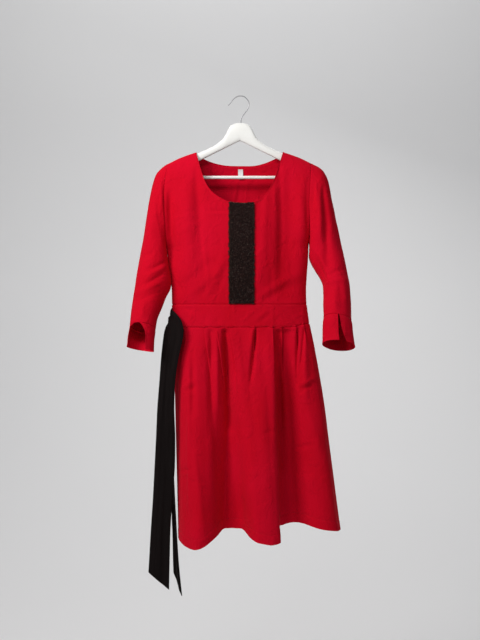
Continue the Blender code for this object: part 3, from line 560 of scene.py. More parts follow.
def ring_form(side, values, angles):
    """Ring of a sleeve: 0 is its outer edge, a quarter turn its front, a half its inner edge."""
    outer_x, outer_drop, inner_x, inner_drop, half_depth, centre_y, tilt = values[:7]
    out, forward = np.cos(angles), np.sin(angles)
    x = (outer_x + inner_x) / 2 + (outer_x - inner_x) / 2 * out
    drop = (outer_drop + inner_drop) / 2 + (outer_drop - inner_drop) / 2 * out
    z = -drop + half_depth * forward * tilt
    return np.stack((side * x, centre_y - half_depth * forward, z), axis=-1)


def armhole_form(side, angles):
    """First ring of a sleeve, just outside the bodice's armhole."""
    top, bottom = shoulder_tip(side)[1], UNDERARM[side]
    drop = (top + bottom) / 2 - (bottom - top) / 2 * np.cos(angles)
    front = torso_point(FRONT, np.full_like(drop, side), drop)
    back = torso_point(BACK, np.full_like(drop, side), drop)
    ring = np.where((np.sin(angles) > 0)[:, None], front, back)
    ring[:, 0] += side * (CAD_CLOTH / 2 + SEAM)
    ring[np.abs(np.sin(angles)) < 1e-6, 1] = 0.0
    return ring


def sleeve_form(side, table, angles, places):
    """Grid of a sleeve from the armhole to the cuff seam; places count the table's rows."""
    rings = []
    armhole = armhole_form(side, angles)
    first = ring_form(side, table[0], angles)
    second = ring_form(side, table[1], angles)
    for place in places:
        if place < 1.0:
            rings.append(hermite(armhole, first, first - armhole, (second - armhole) / 2, place))
        else:
            rings.append(ring_form(side, row_at(table, place - 1.0), angles))
    return np.array(rings)


def cuff_form(side, table, shares, downs):
    """Grid of a cuff, a band with an open slit at its front."""
    rings = []
    for down in downs:
        values = row_at(table, (len(table) - 1) * down)
        start, end = math.radians(values[8]), math.radians(values[7] + 360)
        rings.append(ring_form(side, values, mix(start, end, shares)))
    return np.array(rings)


def tie_form(table, shares, downs):
    """Grid of one end of the tie, from the side seam to its slanted end."""
    rows = []
    for down in downs:
        values = row_at(table, (len(table) - 1) * down)
        outer = np.array((values[0], values[1], -values[2]))
        inner = np.array((values[3], values[4], -values[5]))
        rows.append(outer + (inner - outer) * shares[:, None])
    return np.array(rows)


def patch_form(face, bounds, lift, across_cells, rows):
    """Grid of a flat piece that lies on the torso's cloth, moved along Y by lift."""
    right, left, top, bottom = bounds
    x, drop = np.meshgrid(np.linspace(right, left, across_cells + 1), np.linspace(top, bottom, rows + 1))
    middle, half = torso_middle(drop)
    grid = torso_point(face, (x - middle) / half, drop)
    grid[..., 1] += lift
    return grid


def turns(count):
    """Angles of equal steps round a ring."""
    return 2 * math.pi * np.arange(count) / count


def unit(vectors):
    """Vectors made one long."""
    return vectors / np.maximum(np.linalg.norm(vectors, axis=-1, keepdims=True), 1e-9)


def right_side(grid, sign, closed=False):
    """Unit normals on the cloth's right side."""
    if closed:
        across = np.roll(grid, -1, axis=1) - np.roll(grid, 1, axis=1)
    else:
        across = np.gradient(grid, axis=1)
    along = np.gradient(grid, axis=0)
    return unit(np.cross(across, along) * sign)


def edge_distances(grid):
    """Distance of each point along the cloth from the first row, last row and both side edges."""
    down = np.linalg.norm(np.diff(grid, axis=0), axis=-1)
    down = np.vstack((np.zeros((1, grid.shape[1])), np.cumsum(down, axis=0)))
    over = np.linalg.norm(np.diff(grid, axis=1), axis=-1)
    over = np.hstack((np.zeros((grid.shape[0], 1)), np.cumsum(over, axis=1)))
    return down, down[-1] - down, over, over[:, -1:] - over


def seam_dip(distance):
    """The cloth turns inwards beside a seam."""
    return -SEAM_DIP * np.maximum(0.0, 1.0 - distance / SEAM_DIP_REACH) ** 2


def turned_edge(distance, width):
    """A turned hem is a little thicker up to its row of stitches."""
    raised = TURNING * ease((width - distance) / 0.0020)
    return raised - 0.0004 * np.exp(-(((distance - width) / 0.0012) ** 2))


def run_on(grid):
    """Unit directions in which the first row of a grid would go on."""
    out = grid[0] - grid[1]
    return out / np.linalg.norm(out, axis=-1, keepdims=True)


def turn_in(grid, normals, keep, out):
    """Adds the seam allowance that the first row has behind the neighbouring piece."""
    rows = [grid[0] + out * past - normals[0] * behind for past, behind in reversed(ALLOWANCE)]
    added = len(rows)
    grid = np.concatenate((rows, grid))
    normals = np.concatenate((np.repeat(normals[:1], added, axis=0), normals))
    return grid, normals, np.concatenate((np.ones_like(grid[:added]), keep))


def crease_height(grid, table, mirror=1):
    """Height of the pressed creases and soft folds of a table."""
    x, drop = grid[..., 0] * mirror, -grid[..., 2]
    height = np.zeros_like(x)
    for x0, drop0, x1, drop1, bend, half_width, rise in table:
        run = np.array((x1 - x0, drop1 - drop0))
        length = float(np.hypot(*run))
        away = ((x - x0) * run[0] + (drop - drop0) * run[1]) / length**2
        share = np.clip(away, 0.0, 1.0)
        bow = bend * np.sin(math.pi * share)
        aside = ((x - x0) * run[1] - (drop - drop0) * run[0]) / length - bow
        beyond = (away - share) * length
        fade = np.sin(math.pi * np.clip(mix(0.04, 0.96, share), 0, 1)) ** 0.6
        spread = half_width * (0.75 + 0.5 * share)
        height += rise * fade * np.exp(-(aside**2 + beyond**2) / spread**2)
    return height


def creases(grid, normals, table, face, mirror=1):
    """Height of the creases on the face that they lie on."""
    return crease_height(grid, table, mirror) * np.clip(normals[..., 1] * face * 1.6, 0.0, 1.0)


def chart_folds(across, along, table):
    """Height of long folds given by their shares across and along a strip."""
    height = np.zeros_like(across)
    for a0, s0, a1, s1, half_width, rise in table:
        share = np.clip((along - s0) / (s1 - s0), 0.0, 1.0)
        inside = ease((along - s0 + 0.06) / 0.10) * ease((s1 + 0.06 - along) / 0.10)
        height += rise * inside * np.exp(-(((across - mix(a0, a1, share)) / half_width) ** 2))
    return height


def unevenness(grid, size, amount, seed):
    """Soft irregular waves, as worn cotton has where nothing pulls it flat."""
    dice = random.Random(seed)
    height = np.zeros(grid.shape[:2])
    for _ in range(12):
        stretch = size * dice.uniform(0.6, 1.7)
        direction = Vector((dice.gauss(0, 1), dice.gauss(0, 0.6), dice.gauss(0, 0.55))).normalized()
        wave = grid @ np.array(direction) * (2 * math.pi / stretch) + dice.uniform(0, 6.28)
        height += np.sin(wave + 0.9 * np.sin(wave * 0.37 + dice.uniform(0, 6.28)))
    return height * amount / 3.5


def add(name, data):
    """New object in the scene."""
    thing = bpy.data.objects.new(name, data)
    bpy.context.scene.collection.objects.link(thing)
    return thing


def smooth_mesh(name, verts, faces, finish):
    """Smooth mesh in one finish."""
    mesh = bpy.data.meshes.new(name)
    mesh.from_pydata(verts.tolist(), [], faces.tolist() if hasattr(faces, "tolist") else faces)
    mesh.shade_smooth()
    mesh.materials.append(finish)
    return add(name, mesh)


def mesh_piece(name, verts, faces, finish, cloth_uv=None):
    """Mesh piece that hangs with the whole dress."""
    piece = smooth_mesh(name, verts, faces, finish)
    if cloth_uv is not None:
        piece.data.uv_layers.new(name="cloth").data.foreach_set("uv", cloth_uv.astype(np.float32).ravel())
    piece.data.set_sharp_from_angle(angle=math.radians(SHARP_DEGREES))
    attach(piece, "root")
    return piece


def hang(piece, node):
    """The piece stands for its node, whose part from model.glb is hidden."""
    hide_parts(node)
    return piece


def quads(values):
    """Values at the four corners of each cell of a grid."""
    cells = np.stack((values[:-1, :-1], values[:-1, 1:], values[1:, 1:], values[1:, :-1]), axis=2)
    return cells.reshape(-1, *cells.shape[2:])


def cloth_piece(name, grid, normals, keep, sign, finish, closed=False, thickness=CLOTH):
    """Sheet of cloth with two sides around a grid of points. Its UVs are metres of cloth."""
    rows, cols = grid.shape[:2]
    count = rows * cols
    offset = normals * keep * thickness / 2
    verts = np.concatenate(((grid + offset).reshape(-1, 3), (grid - offset).reshape(-1, 3)))
    loop = np.concatenate((grid, grid[:, :1]), axis=1) if closed else grid
    width = loop.shape[1]
    index = np.arange(rows)[:, None] * cols + np.arange(width) % cols
    down, _, over, _ = edge_distances(loop)
    middle = slice(width // 2, width // 2 + 1)
    uv = np.stack((over - over[:, middle], np.broadcast_to(down[:, middle], over.shape)), axis=-1)

    outer, outer_uv = quads(index), quads(uv)
    faces, face_uvs = [outer, outer[:, ::-1] + count], [outer_uv, outer_uv[:, ::-1]]
    onward, backward = slice(None), slice(None, None, -1)
    rims = [(0, onward), (-1, backward)] + ([] if closed else [(backward, 0), (onward, -1)])
    for rim in rims:
        a, b = index[rim][:-1], index[rim][1:]
        uv_a, uv_b = uv[rim][:-1], uv[rim][1:]
        faces.append(np.stack((b, a, a + count, b + count), axis=-1))
        face_uvs.append(np.stack((uv_b, uv_a, uv_a, uv_b), axis=1))
    faces, face_uvs = np.concatenate(faces), np.concatenate(face_uvs)
    if sign < 0:
        faces, face_uvs = faces[:, ::-1], face_uvs[:, ::-1]
    return mesh_piece(name, verts, faces, finish, face_uvs)


def line_on(surface, distance, width):
    """Points on every column of a surface at one distance from an edge."""
    points = []
    for col in range(surface.shape[1]):
        order = np.argsort(distance[:, col])
        steps = distance[order, col]
        points.append([np.interp(width, steps, surface[order, col, axis]) for axis in range(3)])
    return np.array(points)


def stitch_row(points, normals, pitch=0.0031, length=0.0022, radius=0.00021):
    """Corner points of a row of stitches, each a short thread that dives into the cloth."""
    steps = np.concatenate(([0.0], np.cumsum(np.linalg.norm(np.diff(points, axis=0), axis=1))))
    count = max(1, int(steps[-1] / pitch))
    middles = (np.arange(count) + 0.5) * steps[-1] / count

    def at(values, where):
        return np.stack([np.interp(where, steps, values[:, axis]) for axis in range(3)], axis=-1)

    tangent = unit(at(points, middles + length / 2) - at(points, middles - length / 2))
    normal = unit(at(normals, middles))
    aside = np.cross(tangent, normal)
    rings = []
    for place, lift, width in STITCH_FORM:
        centre = at(points, middles + place * length) + normal * lift * radius
        for turn in range(STITCH_SIDES):
            angle = math.pi * (0.25 + turn / 2)
            spoke = aside * math.cos(angle) + normal * math.sin(angle)
            rings.append(centre + spoke * radius * width)
    return np.stack(rings, axis=1)


def tube_faces(rings, sides):
    """Faces between rings of points that follow each other."""
    points = np.arange(rings * sides).reshape(rings, sides)
    return quads(np.hstack((points, points[:, :1]))).tolist()


def small_tubes(name, corners, rings, sides, finish):
    """Many short tubes as one piece, from the corner points of each, ring by ring."""
    starts = np.arange(len(corners)) * rings * sides
    faces = (starts[:, None, None] + np.array(tube_faces(rings, sides))).reshape(-1, 4)
    piece = mesh_piece(name, corners.reshape(-1, 3), faces, finish)
    return piece


def stitches(name, rows, finish):
    """Rows of stitches as one piece."""
    corners = np.concatenate([stitch_row(*row) for row in rows])
    return small_tubes(name + "_stitches", corners, len(STITCH_FORM), STITCH_SIDES, finish)


def make_up(name, turned, sign, finish, thread, lines):
    """Red piece from its grid, normals and thickness, with its rows of stitches."""
    cloth = hang(cloth_piece(name + "_cloth", *turned, sign, finish), name)
    return cloth, stitches(name, lines, thread)


def rows_at(even, *more):
    """Even places and a few more between them, in order."""
    return np.unique(np.concatenate((even, more)))


def sew_bodice(name, finish, thread, face, neck, table, seed):
    """Front or back of the bodice, with its topstitched neckline."""
    near, far = neck[0][0], neck[-1][0]
    shares = stops([-1.0, near, near + 0.02, near + 0.06, far - 0.06, far - 0.02, far, 1.0], SHARE_STEP)
    ups = rows_at(1.0 - (1.0 - np.arange(71) / 70.0) ** 1.8, 0.0033, 0.0066, 0.010)
    grid = bodice_form(face, neck, shares, ups)
    sign = -face
    normals, out = right_side(grid, sign), run_on(grid)
    from_waist, from_top, from_right, from_left = edge_distances(grid)
    from_side = np.minimum(from_right, from_left)
    side_dip = seam_dip(from_side) * np.where(grid[..., 0] < 0, ARMHOLE_DIP[RIGHT], ARMHOLE_DIP[LEFT])
    in_neck = (shares > near) & (shares < far)
    above_arm = -grid[..., 2] < underarm_drop(grid[..., 0])

    relief = creases(grid, normals, table, face) + unevenness(grid, 0.085, 0.0007, seed)
    relief *= ease(from_waist / 0.016) * ease(from_side / 0.014)
    relief *= np.where(in_neck, ease(from_top / 0.012), ease(from_top / 0.05))
    if face == FRONT:
        x, drop = grid[..., 0], -grid[..., 2]
        beside = np.maximum(PANEL[0] - x, x - PANEL[1])
        relief *= ease(np.maximum(beside, PANEL[2] - drop) / 0.012 + 0.15)
    relief += seam_dip(from_waist) + side_dip
    relief += np.where(in_neck, turned_edge(from_top, NECK_STITCHES), 0.35 * seam_dip(from_top))
    grid = grid + normals * relief[..., None]
    flange = np.clip(1.0 - from_side / 0.008, 0.0, 1.0) ** 2 * above_arm
    grid[..., 0] += np.sign(grid[..., 0]) * flange * (CAD_CLOTH / 2)

    keep = np.ones_like(grid)
    keep[-1, ~in_neck, 1] = 0.0
    keep[:, [0, -1], 0] = ~above_arm[:, [0, -1]]
    keep[:, [0, -1], 1] = above_arm[:, [0, -1]]
    skin = grid + normals * CLOTH / 2
    lines = [(line_on(skin, from_top, NECK_STITCHES)[in_neck][2:-2], normals[-1][in_neck][2:-2])]
    return make_up(name, turn_in(grid, normals, keep, out), sign, finish, thread, lines)


def sew_waistband(name, finish, thread, face, table, seed):
    """Front or back of the waistband, stitched along both seams."""
    shares = stops([-1.0, 1.0], SHARE_STEP)
    grid = waistband_form(face, shares, rows_at(np.linspace(0, 1, 19), 0.018, 0.036, 0.964, 0.982))
    normals = right_side(grid, face)
    from_top, from_bottom, from_right, from_left = edge_distances(grid)
    from_side, from_seam = np.minimum(from_right, from_left), np.minimum(from_top, from_bottom)
    relief = creases(grid, normals, table, face) + unevenness(grid, 0.07, 0.0005, seed)
    relief *= ease(from_seam / 0.008) * ease(from_side / 0.014)
    relief += seam_dip(from_top) + seam_dip(from_bottom) + seam_dip(from_side)
    relief += 0.0004 * ease(from_seam / 0.003)
    grid = grid + normals * relief[..., None]
    keep = np.ones_like(grid)
    keep[[0, -1], :, 2] = 0.0
    keep[:, [0, -1], 1] = 0.0
    skin = grid + normals * CLOTH / 2
    lines = [(line_on(skin, gap, BAND_STITCHES)[2:-2], normals[8][2:-2]) for gap in (from_top, from_bottom)]
    return make_up(name, (grid, normals, keep), face, finish, thread, lines)


def sew_skirt(name, finish, thread, face, folds, pleats, table, valleys, seed):
    """Pleated front or back of the skirt, with its turned and stitched hem."""
    hem_line = 0.9535
    hem_rows = (0.945, 0.950, hem_line, 0.957, 0.962, 0.990, 0.996)
    downs = rows_at(np.linspace(0, 1, 105), 0.002, 0.004, 0.0065, 0.02, *hem_rows)
    grid = skirt_form(face, folds, pleats, skirt_columns(folds, pleats), downs)
    from_top, from_hem, from_right, from_left = edge_distances(grid)
    from_side = np.minimum(from_right, from_left)
    inset = ease(from_top / 0.012) * ease(from_side / 0.020)
    grid[..., 1] += face * crease_height(grid, valleys) * inset
    normals, out = right_side(grid, face), run_on(grid)
    relief = creases(grid, normals, table, face) + unevenness(grid, 0.12, 0.0012, seed)
    relief *= ease(from_top / 0.030) * ease(from_side / 0.020)
    relief += seam_dip(from_top) + seam_dip(from_side) + turned_edge(from_hem, HEM_STITCHES)
    grid = grid + normals * relief[..., None]
    keep = np.ones_like(grid)
    keep[:, [0, -1], 1] = 0.0
    skin = grid + normals * CLOTH / 2
    hem = np.argmin(np.abs(downs - hem_line))
    lines = [(line_on(skin, from_hem, HEM_STITCHES)[4:-4], normals[hem][4:-4])]
    return make_up(name, turn_in(grid, normals, keep, out), face, finish, thread, lines)


def sew_sleeve(name, finish, side, table, front_table, seed):
    """Set-in sleeve, from the armhole to the cuff seam."""
    last = float(len(table))
    places = stops([0.0, 0.03, 0.07, 0.13, 0.25, 1.0, last - 0.1, last - 0.06, last - 0.02, last], 0.135)
    grid = sleeve_form(side, table, turns(100), places)
    normals = right_side(grid, side, closed=True)
    down, up, _, _ = edge_distances(grid)
    relief = creases(grid, normals, front_table, FRONT)
    relief += creases(grid, normals, SLEEVE_BACK_CREASES, BACK, mirror=side)
    relief += unevenness(grid, 0.08, 0.0009, seed)
    relief *= ease(down / 0.022) * ease(up / 0.012)
    relief += seam_dip(down) * ARMHOLE_DIP[side] + seam_dip(up)
    grid = grid + normals * relief[..., None]
    keep = np.ones_like(grid)
    keep[0, :, 0] = 0.0
    piece = cloth_piece(name + "_cloth", grid, normals, keep, side, finish, closed=True)
    return hang(piece, name), None


def sew_cuff(name, finish, thread, side, table, seed):
    """Cuff with its slit left open, stitched round its edges."""
    shares = stops([0.0, 0.012, 0.03, 0.97, 0.988, 1.0], 0.0125)
    grid = cuff_form(side, table, shares, rows_at(np.linspace(0, 1, 25), 0.015, 0.03, 0.97, 0.985))
    normals, out = right_side(grid, side), run_on(grid)
    from_seam, from_end, from_start, from_finish = edge_distances(grid)
    from_slit = np.minimum(from_start, from_finish)
    relief = creases(grid, normals, CUFF_CREASES, FRONT, mirror=side) + unevenness(grid, 0.06, 0.0006, seed)
    relief *= ease(from_seam / 0.01)
    hems = turned_edge(from_end, CUFF_STITCHES), turned_edge(from_slit, SLIT_STITCHES)
    relief += seam_dip(from_seam) + 0.7 * hems[0] + 0.7 * hems[1]
    grid = grid + normals * relief[..., None]
    skin = grid + normals * CLOTH / 2
    lines = [(line_on(skin, from_end, CUFF_STITCHES)[6:-6], normals[-3][6:-6])]
    across = np.swapaxes(skin, 0, 1)
    for gap, col in ((from_start, 2), (from_finish, -3)):
        lines.append((line_on(across, gap.T, SLIT_STITCHES)[3:-3], normals[3:-3, col]))
    turned = turn_in(grid, normals, np.ones_like(grid), out)
    return make_up(name, turned, side, finish, thread, lines)


def hang_tie(name, finish, sign, table, fold_table, seed):
    """One end of the tie, folded over lengthwise where it leaves the side seam."""
    shares, downs = np.linspace(0.0, 1.0, 31), np.linspace(0.0, 1.0, 171)
    grid = tie_form(table, shares, downs)
    normals = right_side(grid, sign)
    _, _, from_outer, from_inner = edge_distances(grid)
    share, down = np.meshgrid(shares, downs)
    relief = chart_folds(share, down, fold_table) + unevenness(grid, 0.09, 0.0006, seed)
    relief *= ease(down / 0.03) * ease(np.minimum(share, 1.0 - share) / 0.06 + 0.25)
    relief += 0.5 * seam_dip(np.minimum(from_outer, from_inner))
    grid = grid + normals * relief[..., None]
    piece = cloth_piece(name + "_cloth", grid, normals, 1.0, sign, finish, thickness=TIE_CLOTH)
    return hang(piece, name), None


def curl(dice, base):
    """Corner points of one curled loop of yarn over a point of the panel."""
    size = dice.uniform(0.0010, 0.0026)
    spin, lean = dice.uniform(0, FULL_TURN), dice.uniform(-0.5, 0.5)
    squeeze, arc = dice.uniform(0.5, 1.0), dice.uniform(4.2, FULL_TURN)
    centre = base - np.array((0.0, dice.uniform(0.0, 0.0011), 0.0))
    bends = np.arange(YARN_BENDS)
    turn = arc * bends / (YARN_BENDS - 1)
    along_x, along_z = np.cos(turn) * size, np.sin(turn) * size * squeeze
    x = along_x * math.cos(spin) - along_z * math.sin(spin)
    z = along_x * math.sin(spin) + along_z * math.cos(spin)
    middles = centre + np.stack((x, x * lean - 0.0003 * np.sin(3 * turn), z), axis=-1)
    radial = np.stack((x, np.zeros_like(x), z), axis=-1) / np.maximum(np.hypot(x, z), 1e-6)[:, None]
    angle = (turns(YARN_SIDES) + bends[:, None])[..., None]
    spokes = radial[:, None] * np.cos(angle) + np.array((0.0, 1.0, 0.0)) * np.sin(angle)
    return (middles[:, None] + spokes * YARN_RADIUS).reshape(-1, 3)


def sew_panel(finish, yarn):
    """Chest panel: a ground cloth, and the curled loops of its yarn over it."""
    lift = -(CAD_CLOTH / 2 + SEAM + PANEL_CLOTH / 2)
    grid = patch_form(FRONT, PANEL, lift, 24, 96)
    rows, cols = grid.shape[:2]
    share = np.linspace(0.0, 1.0, cols)
    fade = np.linspace(1.0, 0.0, rows)[:, None] ** 8
    grid[..., 2] -= PANEL_SAG * 4 * share * (1 - share) * fade
    normals = right_side(grid, FRONT)
    ground = cloth_piece("front_panel_ground", grid, normals, 1.0, FRONT, finish, thickness=PANEL_CLOTH)
    hang(ground, "front_panel")

    skin = grid + normals * PANEL_CLOTH / 2
    dice = random.Random(5)
    loops = []
    for _ in range(PANEL_LOOPS):
        at_edge = dice.random() < 0.10
        across, along = dice.random(), dice.random()
        if at_edge:
            across = dice.choice((dice.uniform(-0.026, 0.02), dice.uniform(0.98, 1.026)))
        inside = min(max(across, 0.0), 1.0)
        col, row = inside * (cols - 1), along * (rows - 1)
        r, c = min(int(row), rows - 2), min(int(col), cols - 2)
        base = skin[r, c] + (skin[r, c + 1] - skin[r, c]) * (col - c)
        base += (skin[r + 1, c] - skin[r, c]) * (row - r)
        base[0] += (across - inside) * (PANEL[1] - PANEL[0])
        loops.append(curl(dice, base))
    loops = small_tubes("front_panel_loops", np.array(loops), YARN_BENDS, YARN_SIDES, yarn)
    return ground, loops


def sew_label(finish, thread):
    """Blank woven label, held by its top edge inside the back of the neck."""
    lift = -(CAD_CLOTH / 2 + LABEL_GAP + LABEL_CLOTH / 2)
    grid = patch_form(BACK, LABEL, lift, 16, 36)
    down = np.linspace(0.0, 1.0, grid.shape[0])[:, None]
    across = np.linspace(-1.0, 1.0, grid.shape[1])[None]
    grid[..., 1] -= 0.0022 * down**1.6 + 0.0007 * across * across * down - 0.0004 * np.sin(7 * down)
    normals = right_side(grid, FRONT)
    label = cloth_piece("neck_label_cloth", grid, normals, 1.0, FRONT, finish, thickness=LABEL_CLOTH)
    hang(label, "neck_label")
    skin = grid + normals * LABEL_CLOTH / 2
    from_top = edge_distances(grid)[0]
    lines = [(line_on(skin, from_top, gap)[1:-1], normals[3][1:-1], *LABEL_STITCH) for gap in LABEL_STITCHES]
    return label, stitches("neck_label", lines, thread)


def rod(name, rings, finish):
    """Solid through rings of points, closed by a flat face at each end."""
    count, sides = rings.shape[:2]
    first, last = range(sides), range((count - 1) * sides, count * sides)
    faces = tube_faces(count, sides) + [tuple(first)[::-1], tuple(last)]
    return mesh_piece(name, rings.reshape(-1, 3), faces, finish)


def carve_hanger(finish):
    """Flat wooden hanger: boss and both arms, with softly rounded edges."""
    marks = HANGER[:, 0]
    reach = stops(marks, HANGER_STEP)
    top, underside = read(HANGER, reach, 1), read(HANGER, reach, 2)
    underside = np.where(reach < HANGER_BEND, underside, np.interp(reach, marks, HANGER[:, 2]))
    half = np.interp(reach, marks, HANGER[:, 3]) * 0.97
    places = np.concatenate((-reach[:0:-1], reach))
    top, underside, half = (np.concatenate((v[:0:-1], v))[:, None] for v in (top, underside, half))
    flat, edge = np.cos(turns(ROD_SIDES)), np.sin(turns(ROD_SIDES))
    y = half * np.sign(flat) * np.abs(flat) ** 0.72
    z = np.sign(edge) * np.abs(edge) ** 0.80
    z = -(top + underside) / 2 + (underside - top) * 0.495 * z
    x = np.broadcast_to(HANGER_MIDDLE + places[:, None], z.shape)
    return hang(rod("hanger_body_wood", np.stack((x, y, z), axis=-1), finish), "hanger_body")


def turn_bar(finish):
    """Round bar between the ends of the arms."""
    places = np.linspace(-BAR_HALF_LENGTH, BAR_HALF_LENGTH, 61)
    radius = BAR_RADIUS * (0.985 + 0.012 * np.cos(places * 17.0))[:, None]
    y, z = radius * np.cos(turns(ROD_SIDES)), -BAR_DROP + radius * np.sin(turns(ROD_SIDES))
    x = np.broadcast_to(HANGER_MIDDLE + places[:, None], y.shape)
    return hang(rod("hanger_bar_wood", np.stack((x, y, z), axis=-1), finish), "hanger_bar")


def bend_hook(finish):
    """Bent steel wire with a rounded tip."""
    curve = bpy.data.curves.new("hanger_hook_wire", "CURVE")
    curve.dimensions = "3D"
    curve.bevel_depth = HOOK_RADIUS
    curve.bevel_resolution = 5
    curve.use_fill_caps = True
    spline = curve.splines.new("POLY")
    places = np.linspace(0.0, len(HOOK_LINE) - 1.0, 96)
    spline.points.add(len(places) - 1)
    for i, place in enumerate(places):
        x, drop = row_at(HOOK_LINE, place)
        spline.points[i].co = (x, 0.0, -drop, 1.0)
        spline.points[i].radius = math.sqrt(1.0 - (1.0 - min(1.0, (i + 0.35) / 1.6)) ** 2)
    spline.use_smooth = True
    curve.materials.append(finish)
    hook = add("hanger_hook_wire", curve)
    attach(hook, "root")
    return hang(hook, "hanger_hook")


def plug(tree, node, links):
    """Gives the inputs of a node their sockets or plain values."""
    for label, value in links:
        if isinstance(value, bpy.types.NodeSocket):
            tree.links.new(value, node.inputs[label])
        else:
            node.inputs[label].default_value = value


def wire(tree, kind, links=(), **settings):
    """New node with its settings and inputs."""
    node = tree.nodes.new("ShaderNode" + kind)
    for key, value in settings.items():
        setattr(node, key, value)
    plug(tree, node, links)
    return node


def sums(tree, operation, *terms):
    """Output of one arithmetic node."""
    return wire(tree, "Math", enumerate(terms), operation=operation).outputs[0]


def blend(tree, share, first, second, how="MIX"):
    """Colour between two colours."""
    return wire(tree, "MixRGB", ((0, share), (1, first), (2, second)), blend_type=how).outputs[0]


def noise(tree, place, scale, detail, **more):
    """Soft random pattern."""
    links = (("Vector", place), ("Scale", scale), ("Detail", detail), *more.items())
    return wire(tree, "TexNoise", links).outputs["Fac"]


def place_on(tree, kind="Object"):
    """Place on the piece, or in metres of its cloth."""
    return wire(tree, "TexCoord").outputs[kind]


def stretched(tree, *factors):
    """Place on the piece, stretched along each axis."""
    factors = wire(tree, "CombineXYZ", enumerate(factors)).outputs[0]
    return wire(tree, "VectorMath", ((0, place_on(tree)), (1, factors)), operation="MULTIPLY").outputs[0]


def node_group(name, inputs, outputs):
    """Empty shader group with named sockets; returns it with its inputs and its end node."""
    group = bpy.data.node_groups.new(name, "ShaderNodeTree")
    for label, start in inputs.items():
        kind = "NodeSocketFloat" if isinstance(start, float) else "NodeSocketColor"
        group.interface.new_socket(label, in_out="INPUT", socket_type=kind).default_value = start
    for label in outputs:
        kind = "NodeSocketColor" if label == "Color" else "NodeSocketFloat"
        group.interface.new_socket(label, in_out="OUTPUT", socket_type=kind)
    return group, group.nodes.new("NodeGroupInput").outputs, group.nodes.new("NodeGroupOutput")


def twill_group():
    """Diagonal ribs of twill, from UVs in metres: Height, and a Rib mask between the threads, which paints
    shade into the colour there.
    """
    inputs = {"Threads per Metre": 1500.0, "Slub": 0.4}
    group, given, end = node_group("twill_weave", inputs, ("Height", "Rib"))
    place = place_on(group, "UV")
    sway = sums(group, "MULTIPLY", noise(group, place, 60.0, 3.0), given["Slub"])
    threads = given["Threads per Metre"]
    u, v, _ = wire(group, "SeparateXYZ", ((0, place),)).outputs
    warp, weft = (sums(group, "MULTIPLY_ADD", way, threads, sway) for way in (u, v))
    ribs = sums(group, "SINE", sums(group, "MULTIPLY", sums(group, "ADD", warp, weft), 3.1416))
    across = sums(group, "SINE", sums(group, "MULTIPLY", weft, 6.2832))
    ribs = sums(group, "MULTIPLY_ADD", ribs, 0.35, 0.5)
    plug(group, end, (("Height", sums(group, "MULTIPLY_ADD", across, 0.15, ribs)), ("Rib", ribs)))
    return group


def crinkle_group():
    """Fine creasing of washed cotton: Height, and a slow Patch mask of worn and darker areas."""
    inputs = {"Size": 40.0, "Stretch": 1.0, "Patch Size": 7.0}
    group, given, end = node_group("cotton_crinkle", inputs, ("Height", "Patch"))
    place = stretched(group, 1.0, 1.0, given["Stretch"])
    fine = noise(group, place, given["Size"], 4.0, Distortion=0.6)
    broad = noise(group, place, given["Patch Size"], 5.0, Roughness=0.6)
    ridges = sums(group, "ABSOLUTE", sums(group, "MULTIPLY_ADD", fine, 2.0, -1.0))
    height = sums(group, "MULTIPLY_ADD", ridges, 0.7, fine)
    plug(group, end, (("Height", height), ("Patch", sums(group, "MULTIPLY_ADD", broad, 2.2, -0.6))))
    return group


def dye_and_rib_shade_group():
    """Colour that varies with a patch mask, a rib mask and a few paler flecks of lint. A weave's rib mask
    paints shade between its threads; brush or drawing streaks give streaks of colour.
    """
    colours = {"Deep": (0.5, 0.5, 0.5, 1), "Bright": (0.6, 0.6, 0.6, 1), "Lint": (0.7, 0.7, 0.7, 1)}
    masks = {"Patch": 0.5, "Rib": 0.5, "Lint Amount": 0.1}
    group, given, end = node_group("uneven_dye_and_rib_shade", {**colours, **masks}, ("Color",))
    patch = wire(group, "Clamp", ((0, given["Patch"]),)).outputs[0]
    base_colour = blend(group, patch, given["Deep"], given["Bright"])
    # Painted shade: the colour is darkened where the rib mask is low, between the threads of a weave; on wood
    # and steel the mask is their real streaks.
    shade = sums(group, "MULTIPLY_ADD", given["Rib"], 0.22, 0.86)
    ribbed = wire(group, "VectorMath", ((0, base_colour), (3, shade)), operation="SCALE").outputs[0]
    flecks = sums(group, "GREATER_THAN", noise(group, place_on(group), 900.0, 1.0), 0.70)
    lint = sums(group, "MULTIPLY", flecks, given["Lint Amount"])
    plug(group, end, (("Color", blend(group, lint, ribbed, given["Lint"])),))
    return group


def grain_group():
    """Long fine grain along X, as wood shows under paint or drawing leaves on wire."""
    inputs = {"Length Scale": 8.0, "Cross Scale": 260.0, "Wear Scale": 30.0}
    group, given, end = node_group("long_grain", inputs, ("Height", "Streak", "Wear"))
    cross = given["Cross Scale"]
    streak = noise(group, stretched(group, given["Length Scale"], cross, cross), 1.0, 4.0)
    wear = noise(group, place_on(group), given["Wear Scale"], 6.0)
    plug(group, end, (("Height", streak), ("Streak", streak), ("Wear", wear)))
    return group


def new_finish(name, **values):
    """Material with plain values on its shader; returns it with its tree and its shader."""
    material = bpy.data.materials.new(name)
    material.use_nodes = True
    shader = material.node_tree.nodes["Principled BSDF"]
    plug(material.node_tree, shader, [(label.replace("_", " "), value) for label, value in values.items()])
    return material, material.node_tree, shader


def placed(tree, group, **values):
    """Outputs of a shared group placed in a material with its own values."""
    links = [(label.replace("_", " "), value) for label, value in values.items()]
    return wire(tree, "Group", links, node_tree=group).outputs


def base_colour(tree, shared, colours, **masks):
    """Base colour of a material: its deep, bright and lint colours, and the masks that mix them; a weave's
    rib mask paints shade between the threads.
    """
    colours = {label: (*colour, 1) for label, colour in zip(("Deep", "Bright", "Lint"), colours)}
    return "Base Color", placed(tree, shared["dye_and_rib_shade"], **colours, **masks)["Color"]


